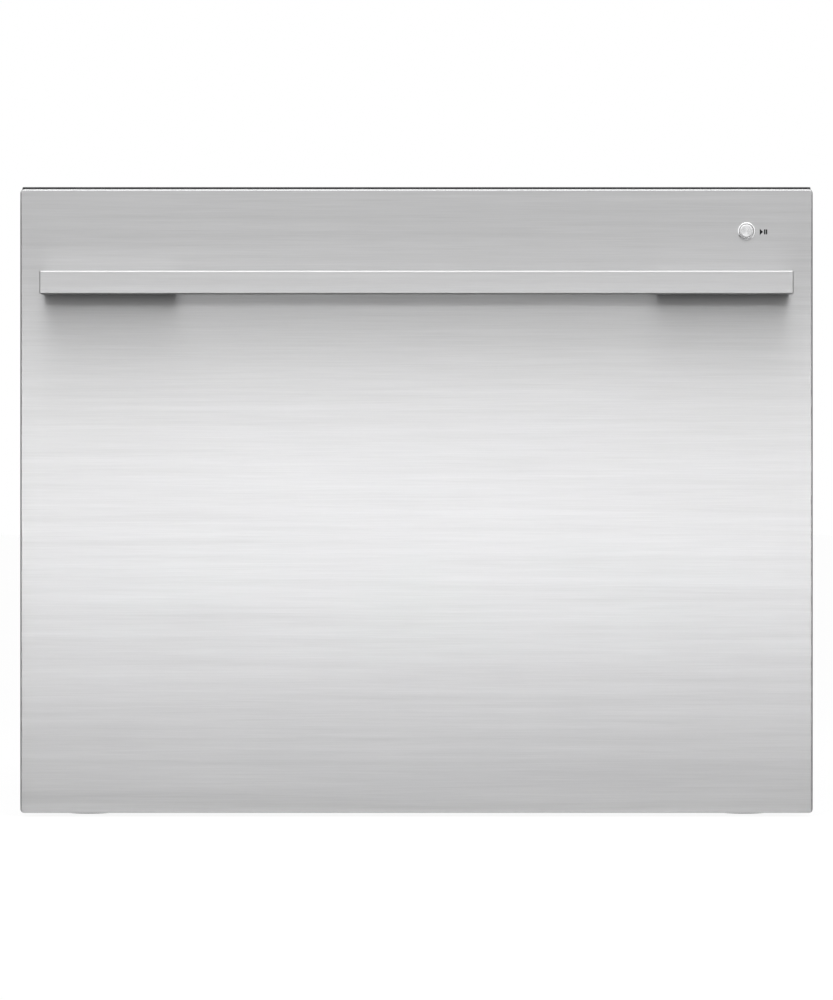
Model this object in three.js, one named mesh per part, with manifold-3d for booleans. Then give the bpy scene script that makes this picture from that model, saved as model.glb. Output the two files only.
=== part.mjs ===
// Built-in dishwasher drawer: a steel-fronted tub on telescopic rails inside a sheet-steel chassis, closed
// from above by a lid that two lead screws lift. Millimetres. X runs to the right, Y from the front to the
// back and Z up from the floor. While it is built, Y = 0 is the steel face of the front.
import * as THREE from "three";
import { mergeVertices } from "three/addons/utils/BufferGeometryUtils.js";
import Module from "manifold-3d";

// ------------------------------------------------------------------ clearances
const fit = 0.1; // between flat faces that are fastened together
const running = 0.3; // round a pin, in a bore, and under anything that turns
const slideGap = 0.4; // between nested rail members

// ------------------------------------------------------------------ chassis
const chassisWidth = 595;
const chassisHeight = 454;
const chassisDepth = 549;
const footHeight = 16; // underside of the chassis above the floor
const sheet = 1;
const flange = 12;
const trimGap = 0.5; // between the closed front and the trim
const trimDepth = 3.5;
const trimWidth = 11;
const trimLift = 9; // lower ends of the trim above the rails
const rearRecess = 12; // rear panel, forward of the chassis back, so that the ports stay inside it
const trayLip = 12;

// ------------------------------------------------------------------ drawer front
const frontOverlap = 2; // the front beyond the chassis on each side
const frontRise = 4.5; // and above it
const frontDepth = 20;
const frontLift = 3; // its lower edge above the floor
const skinSheet = 1;
const skinEdge = 1.5; // radius folded round the steel face
const skinCorner = 2;
const topReturn = 6; // how far the steel turns back along the top
const capProud = 1.7; // the top cap stands this far above the steel
const capInset = 1.5; // and this far inside the steel's ends and face
const capDepth = 15; // height of the cap's block inside the front
const capWall = 2.5;
const innerPlate = 2.6;
const plateSwage = 1.2; // depth of the inner plate's recess
const plateRecessInset = 60; // of the recess from the front's ends
const plateRecessHeight = 190;
const plateRecessDrop = 95; // of the recess from the front's upper edge
const padInset = 9;
const padGap = 5; // between the damping pad and the control module

// ------------------------------------------------------------------ handle
const handleInset = 17; // of the bar's ends from the front's ends
const handleHeight = 17.5;
const handleBarDepth = 13;
const handleReach = 30; // finger room between the bar and the steel
const handleDrop = 71.8; // from the steel's top edge to the bar's middle
const handleEdge = 0.8;
const mountLength = 100;
const mountHeight = 16;
const mountInset = 0.8;

// ------------------------------------------------------------------ start button
const buttonInset = 50.1; // from the front's right-hand end
const buttonDrop = 31.8;
const buttonRadius = 5.2;
const buttonProud = 0.8;
const buttonTravel = 1.2;
const buttonCollar = 1.4;
const ringWidth = 1.3; // radial width of the ring's flange beyond its tube's bore
const ringWall = 0.7;
const ringProud = 1;
const ringTube = 4; // how far the ring's tube reaches behind the face
const moduleWidth = 86;
const moduleHeight = 31;
const moduleReach = 37; // of the module's right-hand end beyond the button

// ------------------------------------------------------------------ levelling feet
const footInsetX = 47;
const footInsetY = 48;
const padRadius = 18;
const padHeight = 7;
const studRadius = 5;
const footBossRadius = 11;
const footBossHeight = 14;
const nutRadius = 9;
const studTop = 19; // stud above the underside of the chassis

// ------------------------------------------------------------------ telescopic rails
const railBottom = 52;
const railHeight = 45;
const railDepth = 12.7;
const railWall = 1.5;
const memberWall = 1.2;
const railSetback = 21; // fixed member behind the chassis front
const railLength = 500;
const innerRailGap = 11; // moving member behind the drawer front
const innerRailLength = 500;
const drawerTravel = 480;

// ------------------------------------------------------------------ tub
const tubSideRoom = 17.5; // from the tub's rim to the outside of the chassis
const tubFrontRoom = 13; // from the drawer front to the tub's front wall
const tubBackRoom = 57; // from the tub's rear wall to the rear panel
const tubFloor = 101; // inside of its floor
const tubWall = 3;
const tubCorner = 28;
const rimWidth = 10; // sealing face, from the inside of the wall outwards
const rimThickness = 4;
const rimSkirt = 13;
const rimSkirtWall = 2;
const sumpRadius = 112;
const sumpDepth = 15;
const tubPadWidth = 50;
const tubPadHeight = 16;
const tubPadDrop = 22;
const tubPadPitch = 200;

// ------------------------------------------------------------------ drawer brackets
const bracketSheet = 1.4;
const bracketShelf = 30;
const bracketTabWidth = 42;
const bracketTabHeight = 94;
const bracketDrop = 4; // lower edge above the rail's lower edge
const bracketEnd = 40; // of the inner rail left free behind it

// ------------------------------------------------------------------ wash pump, heater and filter
const postRadius = 6;
const postTop = 128;
const motorRadius = 78;
const motorBottom = 40;
const motorFlange = 92;
const motorFlangeHeight = 6;
const plugWidth = 28;
const plugHeight = 20;
const plugReach = 16; // beyond the motor's casing
const plugLift = 6; // above the motor's underside
const impellerRadius = 40;
const impellerHeight = 12;
const impellerVanes = 8;
const neckRadius = 11;
const heaterRadius = 98;
const heaterRod = 4.5;
const plateOverlap = 8; // of the filter plate on the tub floor round the sump
const plateThickness = 2.8;
const hubHole = 22;
const filterRadius = 20;
const filterOffset = 68;
const filterWall = 1.6;
const filterFlange = 4;
const filterGrip = 6;

// ------------------------------------------------------------------ spray arm
const sprayRoom = 10; // from the arm's tips to the tub's front and rear walls
const sprayBottom = 114;
const sprayThickness = 12;
const sprayHubRadius = 17;
const sprayRootWidth = 46;
const sprayTipWidth = 26;

// ------------------------------------------------------------------ pumps and electronics below the tub
const drainPumpRadius = 30;
const drainPumpLength = 74;
const drainPumpX = -165;
const drainPumpInset = 100; // forward of the tub's rear wall
const drainPumpSaddle = 6;
const saddleLength = 40;
const saddleWidth = 28;
const stubRadius = 9;
const stubLength = 18;
const stubX = -22; // from the pump's middle
const stubRise = 4;
const electronicsWidth = 240;
const electronicsDepth = 88;
const electronicsHeight = 40;
const electronicsInset = 12; // behind the tub's front wall

// ------------------------------------------------------------------ dish rack
const rackSideRoom = 8; // between the rack's side wires and the tub
const rackFrontRoom = 32; // the dispenser stands here
const rackBackRoom = 6;
const rackBottom = 145;
const wire = 5;
const rackHeight = 140; // to the side rails that carry the cup shelves
const rackLowHeight = 81; // to the hoop all round
const rackCorner = 24; // radius of its corners, to the middle of the wire
const floorBarsX = 9;
const floorBarsY = 5;
const sidePostCount = 7;
const legSize = 9;

// ------------------------------------------------------------------ folding tines
const tineRows = [1, 2, 3]; // the rack's cross bars that carry the rows, counted from 0 at the front
const tineCount = 9;
const tinePitch = 32;
const tineInset = 97; // first tine from the rack's left side
const tineRadius = 2;
const tineHeight = 86;
const axleHeight = 7; // axle above the rack's floor bars
const clipWidth = 8;
const clipWall = 3;

// ------------------------------------------------------------------ folding cup shelves
const shelfDepth = 86;
const shelfLength = 380;
const shelfThickness = 4;
const shelfBars = 12;
const shelfFrame = 6;
const knuckleRadius = 6;
const knuckleLength = 16;
const knuckleSpan = 5; // gaps between rack posts from one knuckle to the other, an odd number

// ------------------------------------------------------------------ cutlery basket
const basketInset = 12; // from the rack's right side
const basketWidth = 126;
const basketSetback = 22; // from the rack's front
const basketLength = 336;
const basketHeight = 118;
const basketWall = 2.5;
const basketCells = 4;

// ------------------------------------------------------------------ detergent dispenser
const dispenserX = 95;
const dispenserWidth = 152;
const dispenserHeight = 100;
const dispenserDepth = 22;
const dispenserDrop = 27.7; // upper edge below the tub's rim
const cupWidth = 66;
const cupHeight = 58;
const cupDepth = 17;
const cupLeft = 12; // from the housing's left edge
const cupBottom = 20; // from the housing's lower edge
const doorMargin = 4;
const doorThickness = 3;
const hingePin = 1.6;
const earWidth = 3;
const earHalf = 3.2; // half the height of the ears that hold the door's pin
const capRadius = 16;
const capStem = 9;
const capHeight = 6;

// ------------------------------------------------------------------ lid and its actuators
const lidLift = 12;
const lidRoom = 7; // left above the raised lid
const sealHeight = 4;
const sealWidth = 8;
const lidPlate = 3;
const lidHeight = 16;
const lidMargin = 2; // beyond the tub's rim
const lidRib = 3;
const lidPocketsX = 4;
const lidPocketsY = 3;
const earLength = 26;
const screwRadius = 3;
const screwCollar = 2.2; // of the collar beyond the screw
const screwCollarHeight = 3.7;
const actuatorWidth = 60;
const actuatorHeight = 44;
const actuatorDrop = 53.7; // top of the actuator below the tub's rim
const actuatorMotor = 40; // length of the motor below it
const actuatorBore = 24; // depth of the screw's seat in the actuator

// ------------------------------------------------------------------ hose link
const linkSpare = 6; // of each arm's length, so that the open link stays bent
const linkWidth = 24;
const linkThickness = 7.5;
const linkPivotX = 125;
const linkPivotInset = 25; // forward of the rear panel
const linkTubInset = 13; // forward of the tub's rear wall
const linkPin = 5;
const linkChannel = 14;
const linkChannelDepth = 5;
const linkBase = 3; // lower arm above the base tray
const linkGap = 0.8; // between the two arms

// ------------------------------------------------------------------ water and mains ports
const inletInset = 97.5; // from the right-hand side of the chassis
const inletZ = 80;
const inletRadius = 13;
const drainInset = 92.5; // from the left-hand side of the chassis
const drainZ = 74;
const drainRadius = 10;
const mainsPitch = 125; // from the drain to the mains inlet
const mainsZ = 84;
const glandRadius = 9;
const portFlange = 8;
const portPlate = 3;
const portBody = 32;
const valveWidth = 32;
const valveHeight = 36;
const coilRadius = 13;
const coilTop = 44;
const spigotLength = 26;
const mainsBoxWidth = 60;
const mainsBoxBottom = 24;
const mainsBoxTop = 28;

// ------------------------------------------------------------------ places worked out from the sizes
const chassisHalf = chassisWidth / 2;
const chassisInside = chassisHalf - sheet;
const chassisTop = footHeight + chassisHeight;
const inletX = chassisHalf - inletInset;
const drainX = drainInset - chassisHalf;
const mainsX = drainX + mainsPitch;
const chassisFront = frontDepth + trimGap + trimDepth;
const chassisBack = chassisFront + chassisDepth;
const trayTop = footHeight + sheet;
const rearPanelFront = chassisBack - rearRecess - sheet;
const frontHalf = chassisHalf + frontOverlap;
const frontWidth = 2 * frontHalf;
const frontTop = chassisTop + frontRise;
const frontHeight = frontTop - frontLift;
const handleLength = frontWidth - 2 * handleInset;
const handleZ = frontTop - handleDrop;
const handleFace = -(handleReach + handleBarDepth);
const buttonX = frontHalf - buttonInset;
const buttonZ = frontTop - buttonDrop;
const moduleBottom = buttonZ - moduleHeight / 2;
const ringBore = buttonRadius + running;
const platePlane = frontDepth - innerPlate; // front face of the inner plate
const capBlockBottom = frontTop - capDepth;
const railStart = chassisFront + railSetback;
const innerRailStart = frontDepth + innerRailGap;
const railTop = railBottom + railHeight;
const railOutside = chassisInside - fit;
const railInside = railOutside - railDepth;
const rimHalf = chassisHalf - tubSideRoom;
const tubHalfWidth = rimHalf - rimWidth; // inside
const tubFront = frontDepth + tubFrontRoom + tubWall; // inside of its front wall
const tubBack = rearPanelFront - tubBackRoom - tubWall;
const sumpFloor = tubFloor - sumpDepth;
const tubUnderside = tubFloor - tubWall;
const tubMiddleY = (tubFront + tubBack) / 2;
const lidBottom = chassisTop - sheet - lidRoom - lidLift - lidHeight;
const rimTop = lidBottom - sealHeight - running;
const lidHalf = rimHalf + lidMargin;
const lidFront = tubFront - rimWidth;
const lidBack = tubBack + rimWidth;
const actuatorTop = rimTop - actuatorDrop;
const dispenserBottom = rimTop - dispenserDrop - dispenserHeight;
const sprayReach = (tubBack - tubFront) / 2 - sprayRoom;
const plateBottom = tubFloor + fit;
const rackHalfWidth = tubHalfWidth - rackSideRoom;
const rackFront = tubFront + rackFrontRoom;
const rackBack = tubBack - rackBackRoom;
const rackRailZ = rackBottom + rackHeight;
const rackLowRailZ = rackBottom + rackLowHeight;
const tineStart = tineInset - rackHalfWidth;
const rackFloorTop = rackBottom + wire;
const axleZ = rackFloorTop + axleHeight;
const linkPivotY = rearPanelFront - linkPivotInset;
const linkTubY = tubBack - linkTubInset;
const linkLength = (linkPivotY - linkTubY + drawerTravel) / 2 + linkSpare;
const armLow = trayTop + linkBase;
const armHigh = armLow + linkThickness + linkGap;
const pinTop = armHigh - running;

// ------------------------------------------------------------------ materials
const brushedSteel = new THREE.MeshStandardMaterial({ color: 0xc9cacb, roughness: 0.34, metalness: 1 });
const polishedSteel = new THREE.MeshStandardMaterial({ color: 0xd9dadb, roughness: 0.2, metalness: 1 });
const galvanised = new THREE.MeshStandardMaterial({ color: 0xa9adb0, roughness: 0.5, metalness: 0.9 });
const railSteel = new THREE.MeshStandardMaterial({ color: 0xb9bcbf, roughness: 0.3, metalness: 1 });
const darkPlastic = new THREE.MeshStandardMaterial({ color: 0x3a3b3d, roughness: 0.5 });
const tubPlastic = new THREE.MeshStandardMaterial({ color: 0xc4c8cb, roughness: 0.38 });
const whitePlastic = new THREE.MeshStandardMaterial({ color: 0xe6e7e6, roughness: 0.45 });
const coatedWire = new THREE.MeshStandardMaterial({ color: 0x8d9296, roughness: 0.42 });
const blackRubber = new THREE.MeshStandardMaterial({ color: 0x1d1d1e, roughness: 0.8 });
const greyRubber = new THREE.MeshStandardMaterial({ color: 0x6f7376, roughness: 0.75 });
const bitumen = new THREE.MeshStandardMaterial({ color: 0x262524, roughness: 0.9 });
const bluePlastic = new THREE.MeshStandardMaterial({ color: 0x3d5f86, roughness: 0.4 });

// ------------------------------------------------------------------ solids
const wasm = await Module();
wasm.setup();

function solidOf(geometry) {
  geometry.deleteAttribute("normal");
  geometry.deleteAttribute("uv");
  const merged = mergeVertices(geometry, 1e-3);
  return new wasm.Manifold(
    new wasm.Mesh({
      numProp: 3,
      vertProperties: new Float32Array(merged.attributes.position.array),
      triVerts: new Uint32Array(merged.index.array),
    }),
  );
}

function geometryOf(solid) {
  const { numProp, numVert, vertProperties, triVerts } = solid.getMesh();
  const positions = new Float32Array(numVert * 3);
  for (let i = 0; i < numVert; i++) {
    positions.set(vertProperties.subarray(i * numProp, i * numProp + 3), i * 3);
  }
  const geometry = new THREE.BufferGeometry();
  geometry.setAttribute("position", new THREE.BufferAttribute(positions, 3));
  geometry.setIndex(new THREE.BufferAttribute(new Uint32Array(triVerts), 1));
  geometry.computeVertexNormals();
  return geometry;
}

const join = (solids) => solids.reduce((all, next) => all.add(next));
const cut = (solid, tools) => tools.reduce((left, tool) => left.subtract(tool), solid);
const range = (count) => Array.from({ length: count }, (_, i) => i);
const share = (low, high, count, i) => low + ((high - low) * i) / (count - 1);

// A block between two corners.
function block([x0, y0, z0], [x1, y1, z1]) {
  const geometry = new THREE.BoxGeometry(x1 - x0, y1 - y0, z1 - z0);
  return solidOf(geometry.translate((x0 + x1) / 2, (y0 + y1) / 2, (z0 + z1) / 2));
}

const axisX = new THREE.Vector3(1, 0, 0);
const axisY = new THREE.Vector3(0, 1, 0);
const axisZ = new THREE.Vector3(0, 0, 1);

// An outline pulled along one axis, drawn in Y and Z for axis "x", in X and Z for "y", in X and Y for "z".
function prism(outline, axis, from, to) {
  const geometry = new THREE.ExtrudeGeometry(outline, { depth: to - from, bevelEnabled: false });
  return solidOf(turned(geometry, axis, from, to));
}

function turned(geometry, axis, from, to) {
  const matrix = new THREE.Matrix4();
  if (axis === "x") matrix.makeBasis(axisY, axisZ, axisX).setPosition(from, 0, 0);
  if (axis === "y") matrix.makeBasis(axisX, axisZ, axisY.clone().negate()).setPosition(0, to, 0);
  if (axis === "z") matrix.setPosition(0, 0, from);
  return geometry.applyMatrix4(matrix);
}

// A round bar along one axis, centred on [u, v] in the plane across it.
function bar(axis, radius, from, to, [u, v] = [0, 0], sides = 24) {
  const outline = new THREE.Shape();
  range(sides).forEach((i) => {
    const angle = ((i + 0.5) / sides) * 2 * Math.PI;
    const point = [u + radius * Math.cos(angle), v + radius * Math.sin(angle)];
    if (i) outline.lineTo(...point);
    else outline.moveTo(...point);
  });
  return prism(outline, axis, from, to);
}

function roundedOutline(u0, u1, v0, v1, radius) {
  const outline = new THREE.Shape();
  outline.moveTo(u0 + radius, v0);
  outline.lineTo(u1 - radius, v0);
  outline.absarc(u1 - radius, v0 + radius, radius, -Math.PI / 2, 0, false);
  outline.lineTo(u1, v1 - radius);
  outline.absarc(u1 - radius, v1 - radius, radius, 0, Math.PI / 2, false);
  outline.lineTo(u0 + radius, v1);
  outline.absarc(u0 + radius, v1 - radius, radius, Math.PI / 2, Math.PI, false);
  outline.lineTo(u0, v0 + radius);
  outline.absarc(u0 + radius, v0 + radius, radius, Math.PI, 1.5 * Math.PI, false);
  return outline;
}

function roundedBlock([x0, y0, z0], [x1, y1, z1], radius, arcSteps = 5) {
  const outline = roundedOutline(x0, x1, y0, y1, radius);
  const geometry = new THREE.ExtrudeGeometry(outline, {
    depth: z1 - z0,
    bevelEnabled: false,
    curveSegments: arcSteps,
  });
  return solidOf(geometry.translate(0, 0, z0));
}

// A slab standing across Y with small rounded edges all round its front and back faces.
function softSlab(width, height, front, back, edge, corner) {
  const [u, v] = [width / 2 - edge, height / 2 - edge];
  const outline = roundedOutline(-u, u, -v, v, corner);
  const geometry = new THREE.ExtrudeGeometry(outline, {
    depth: back - front - 2 * edge,
    bevelThickness: edge,
    bevelSize: edge,
    bevelSegments: 2,
    curveSegments: 3,
  });
  return solidOf(turned(geometry, "y", front + edge, back - edge));
}

function mesh(name, solid, material, [x, y, z] = [0, 0, 0]) {
  const made = new THREE.Mesh(geometryOf(solid), material);
  made.name = name;
  made.position.set(x, y, z);
  return made;
}

function assembly(...members) {
  const group = new THREE.Group();
  group.add(...members.flat());
  return group;
}

const sides = [
  { side: "left", sign: -1 },
  { side: "right", sign: 1 },
];

// A solid made for the right-hand side, or its mirror image for the left-hand one.
const handed = (solid, sign) => (sign < 0 ? solid.mirror([1, 0, 0]) : solid);

// ------------------------------------------------------------------ the drawer front

// A pan folded from one sheet: open at the back, and behind the top return, where the cap's block goes in.
function frontSkin() {
  const middle = frontLift + frontHeight / 2;
  const past = frontDepth + 10;
  const outside = softSlab(frontWidth, frontHeight, 0, frontDepth + 2 * skinEdge, skinEdge, skinCorner);
  const behind = block([-frontWidth, frontDepth, -frontHeight], [frontWidth, past, frontHeight]);
  const half = frontHalf - skinSheet;
  const insideTop = frontHeight / 2 - skinSheet;
  const inside = block([-half, skinSheet, skinSheet - frontHeight / 2], [half, past, insideTop]);
  const topSlot = block([-half, topReturn, insideTop - 1], [half, past, frontHeight]);
  const hole = bar("y", ringBore + ringWall + fit, -1, 2 * skinSheet, [buttonX, buttonZ - middle]);
  return mesh("front_skin", cut(outside, [behind, inside, topSlot, hole]), brushedSteel, [0, 0, middle]);
}

function topCap() {
  const half = frontHalf - skinSheet - fit;
  const body = block([-half, topReturn + fit, -capDepth], [half, frontDepth, fit]);
  const head = block([-frontHalf + capInset, capInset, fit], [frontHalf - capInset, frontDepth, capProud]);
  const hollow = block(
    [-half + capWall, topReturn + capWall, -capDepth - 1],
    [half - capWall, frontDepth - capWall, -capWall],
  );
  return mesh("panel_top_cap", body.add(head).subtract(hollow), darkPlastic, [0, 0, frontTop]);
}

function soundPad() {
  const half = frontHalf - padInset;
  const top = moduleBottom - padGap;
  const pad = block([-half, skinSheet + fit, frontLift + padInset], [half, platePlane - fit, top]);
  return mesh("sound_pad", pad, bitumen);
}

function innerFrontPlate() {
  const half = frontHalf - skinSheet - fit;
  const plate = block(
    [-half, platePlane, frontLift + skinSheet + fit],
    [half, frontDepth, capBlockBottom - fit],
  );
  const recessTop = frontTop - plateRecessDrop;
  const recess = block(
    [-half + plateRecessInset, frontDepth - plateSwage, recessTop - plateRecessHeight],
    [half - plateRecessInset, frontDepth + 1, recessTop],
  );
  return mesh("front_inner_plate", plate.subtract(recess), galvanised);
}

function controlModule() {
  const back = platePlane - fit;
  const front = buttonProud + ringTube + buttonTravel + buttonCollar + running;
  const right = buttonX + moduleReach;
  const top = Math.min(moduleBottom + moduleHeight, capBlockBottom - fit);
  const body = block([right - moduleWidth, front, moduleBottom], [right, back, top]);
  return mesh("control_module", body, darkPlastic);
}

// The ring is turned about its own middle, at the steel face.
function buttonRing() {
  const tube = bar("y", ringBore + ringWall, -ringProud, ringTube);
  const lip = bar("y", ringBore + ringWidth, -ringProud, 0, [0, 0], 32);
  const bore = bar("y", ringBore, -ringProud - 1, ringTube + 1);
  return mesh("button_ring", tube.add(lip).subtract(bore), polishedSteel, [buttonX, -fit / 2, buttonZ]);
}

function startButton() {
  const dishDepth = 0.25;
  const collarFront = ringTube + 0.2;
  const cap = bar("y", buttonRadius, -buttonProud, collarFront);
  const dish = bar("y", buttonRadius - 0.9, -buttonProud - 1, -buttonProud + dishDepth);
  const collar = bar("y", ringBore + ringWall - 0.1, collarFront, collarFront + buttonCollar);
  return mesh("start_button", cap.subtract(dish).add(collar), polishedSteel, [buttonX, 0, buttonZ]);
}

function handleBar() {
  const corner = handleEdge / 4;
  const solid = softSlab(handleLength, handleHeight, handleFace, -handleReach, handleEdge, corner);
  return mesh("handle_bar", solid, brushedSteel, [0, 0, handleZ]);
}

function handleMount({ side, sign }) {
  const outer = handleLength / 2 - mountInset;
  const half = mountHeight / 2;
  const body = block([outer - mountLength, -handleReach + fit, -half], [outer, -fit, half]);
  return mesh(`handle_mount_${side}`, handed(body, sign), brushedSteel, [0, 0, handleZ]);
}

const drawerFront = assembly(
  frontSkin(),
  topCap(),
  soundPad(),
  innerFrontPlate(),
  controlModule(),
  buttonRing(),
  startButton(),
  handleBar(),
  sides.map(handleMount),
);

// ------------------------------------------------------------------ the tub and what hangs on it

function tub() {
  const shell = roundedBlock(
    [-tubHalfWidth - tubWall, tubFront - tubWall, tubUnderside],
    [tubHalfWidth + tubWall, tubBack + tubWall, rimTop],
    tubCorner + tubWall,
  );
  const rim = roundedBlock(
    [-rimHalf, tubFront - rimWidth, rimTop - rimSkirt],
    [rimHalf, tubBack + rimWidth, rimTop],
    tubCorner + rimWidth,
  );
  const underRim = roundedBlock(
    [-rimHalf + rimSkirtWall, tubFront - rimWidth + rimSkirtWall, rimTop - rimSkirt - 1],
    [rimHalf - rimSkirtWall, tubBack + rimWidth - rimSkirtWall, rimTop - rimThickness],
    tubCorner + rimWidth - rimSkirtWall,
  );
  const inside = roundedBlock(
    [-tubHalfWidth, tubFront, tubFloor],
    [tubHalfWidth, tubBack, rimTop + 1],
    tubCorner,
  );
  const sump = bar("z", sumpRadius + tubWall, sumpFloor - tubWall, tubFloor, [0, tubMiddleY], 36);
  const sumpInside = bar("z", sumpRadius, sumpFloor, tubFloor + 1, [0, tubMiddleY], 36);
  const postHole = bar("z", postRadius + running, sumpFloor - tubWall - 1, tubFloor, [0, tubMiddleY], 16);
  const linkPlace = [linkPivotX, linkTubY];
  const linkPost = bar("z", linkPin + 4, armHigh + linkThickness + running, tubUnderside + 1, linkPlace, 16);
  const pin = bar("z", linkPin, armHigh + linkThickness / 4, tubUnderside, linkPlace, 16);
  const frontPads = [-1, 0, 1].map((place) =>
    block(
      [place * tubPadPitch - tubPadWidth / 2, frontDepth + fit, rimTop - tubPadDrop - tubPadHeight],
      [place * tubPadPitch + tubPadWidth / 2, tubFront - tubWall / 2, rimTop - tubPadDrop],
    ),
  );
  const outer = join([shell, rim.subtract(underRim), sump, linkPost, pin, ...frontPads]);
  return mesh("tub", cut(outer, [inside, sumpInside, postHole]), tubPlastic);
}

// It is screwed to the inner rail, carries the tub on its shelf and holds the front by its tab.
function drawerBracket({ side, sign }) {
  const outer = railInside - fit;
  const shelfTop = tubUnderside - fit;
  const back = innerRailStart + innerRailLength - bracketEnd;
  const low = railBottom + bracketDrop;
  const front = frontDepth + fit;
  const leg = block([outer - bracketSheet, innerRailStart, low], [outer, back, shelfTop]);
  const web = block([outer - bracketSheet, front, low], [outer, innerRailStart + 1, shelfTop]);
  const shelf = block([outer - bracketShelf, innerRailStart, shelfTop - bracketSheet], [outer, back, shelfTop]);
  const tab = block([outer - bracketTabWidth, front, low], [outer, front + bracketSheet, low + bracketTabHeight]);
  return mesh(`drawer_bracket_${side}`, handed(join([leg, shelf, tab, web]), sign), galvanised);
}

function pumpMotor() {
  const top = sumpFloor - tubWall - fit;
  const casing = bar("z", motorRadius, motorBottom, top, [0, 0], 32);
  const mounting = bar("z", motorFlange, top - motorFlangeHeight, top, [0, 0], 32);
  const post = bar("z", postRadius, motorBottom, postTop, [0, 0], 16);
  const plugBottom = motorBottom + plugLift;
  const connector = block(
    [motorRadius - plugLift, -plugWidth / 2, plugBottom],
    [motorRadius + plugReach, plugWidth / 2, plugBottom + plugHeight],
  );
  return mesh("pump_motor", join([casing, mounting, post, connector]), darkPlastic, [0, tubMiddleY, 0]);
}

function pumpRotor() {
  const bottom = sumpFloor + running;
  const hub = bar("z", neckRadius, bottom, sprayBottom - 4, [0, 0], 20);
  const disc = bar("z", impellerRadius, bottom, bottom + 3, [0, 0], 32);
  const vanes = range(impellerVanes).map((i) =>
    block([neckRadius - 2, -1, bottom + 2], [impellerRadius - 2, 1, bottom + impellerHeight]).rotate([
      0,
      0,
      (360 * i) / impellerVanes,
    ]),
  );
  const bore = bar("z", postRadius + running, bottom - 1, sprayBottom, [0, 0], 16);
  return mesh("pump_rotor", join([hub, disc, ...vanes]).subtract(bore), whitePlastic, [0, tubMiddleY, 0]);
}

function heaterRing() {
  const outline = range(8).map((i) => {
    const angle = (i / 8) * 2 * Math.PI;
    return new THREE.Vector2(heaterRadius + heaterRod * Math.cos(angle), heaterRod * (1 + Math.sin(angle)));
  });
  const ring = new THREE.LatheGeometry([...outline, outline[0]], 32).rotateX(Math.PI / 2);
  return mesh("heater_ring", solidOf(ring), polishedSteel, [0, tubMiddleY, sumpFloor + running]);
}

function filterPlate() {
  const plate = bar("z", sumpRadius + plateOverlap, plateBottom, plateBottom + plateThickness, [0, 0], 36);
  const hub = bar("z", hubHole, plateBottom - 1, plateBottom + 9, [0, 0], 24);
  const filterHole = bar("z", filterRadius + running, plateBottom - 1, plateBottom + 9, [filterOffset, 0], 24);
  return mesh("filter_plate", cut(plate, [hub, filterHole]), polishedSteel, [0, tubMiddleY, 0]);
}

// A cup with a flange on the filter plate and a cross-bar to turn it by.
function drainFilter() {
  const flangeBottom = plateBottom + plateThickness + fit;
  const cupFloor = sumpFloor + 1;
  const cup = bar("z", filterRadius, cupFloor, flangeBottom + 2, [0, 0], 24);
  const lip = bar("z", filterRadius + filterFlange, flangeBottom, flangeBottom + 2, [0, 0], 24);
  const hollow = bar("z", filterRadius - filterWall, cupFloor + filterWall, flangeBottom + 3, [0, 0], 24);
  const grip = block([-filterRadius, -1.5, flangeBottom - 6], [filterRadius, 1.5, flangeBottom + filterGrip]);
  const solid = join([cup.add(lip).subtract(hollow), grip]);
  return mesh("drain_filter", solid, bluePlastic, [filterOffset, tubMiddleY, 0]);
}

// Two swept arms on a hub that rides over the fixed post.
function sprayArm() {
  const outline = new THREE.Shape();
  const [root, tip] = [sprayRootWidth / 2, sprayTipWidth / 2];
  outline.moveTo(-root, 0);
  outline.quadraticCurveTo(-root, sprayReach * 0.4, -tip - 14, sprayReach * 0.8);
  outline.quadraticCurveTo(-tip - 8, sprayReach, -8, sprayReach);
  outline.quadraticCurveTo(tip, sprayReach * 0.97, tip - 4, sprayReach * 0.85);
  outline.quadraticCurveTo(root + 2, sprayReach * 0.4, root, 0);
  outline.closePath();
  const arm = solidOf(
    new THREE.ExtrudeGeometry(outline, {
      depth: sprayThickness - 4,
      bevelThickness: 2,
      bevelSize: 2,
      bevelOffset: -2,
      bevelSegments: 1,
      curveSegments: 4,
    }).translate(0, 0, sprayBottom + 2),
  );
  const hub = bar("z", sprayHubRadius, sprayBottom - 3, postTop + 3, [0, 0], 24);
  const bore = bar("z", postRadius + running, sprayBottom - 4, postTop + running, [0, 0], 16);
  const both = join([arm, arm.rotate([0, 0, 180]), hub]).subtract(bore).rotate([0, 0, 68]);
  return mesh("spray_arm", both, whitePlastic, [0, tubMiddleY, 0]);
}

function drainPump() {
  const top = tubUnderside - fit;
  const body = bar("x", drainPumpRadius, -drainPumpLength / 2, drainPumpLength / 2, [0, 0], 20);
  const saddle = block(
    [-saddleLength / 2, -saddleWidth / 2, 0],
    [saddleLength / 2, saddleWidth / 2, drainPumpRadius + drainPumpSaddle],
  );
  const stub = bar("y", stubRadius, -drainPumpRadius - stubLength, 0, [stubX, stubRise], 14);
  return mesh("drain_pump", join([body, saddle, stub]), darkPlastic, [
    drainPumpX,
    tubBack - drainPumpInset,
    top - drainPumpRadius - drainPumpSaddle,
  ]);
}

function electronicsModule() {
  const top = tubUnderside - fit;
  const front = tubFront + electronicsInset;
  const box = block(
    [-electronicsWidth / 2, front, top - electronicsHeight],
    [electronicsWidth / 2, front + electronicsDepth, top],
  );
  return mesh("electronics_module", box, darkPlastic);
}

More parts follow.
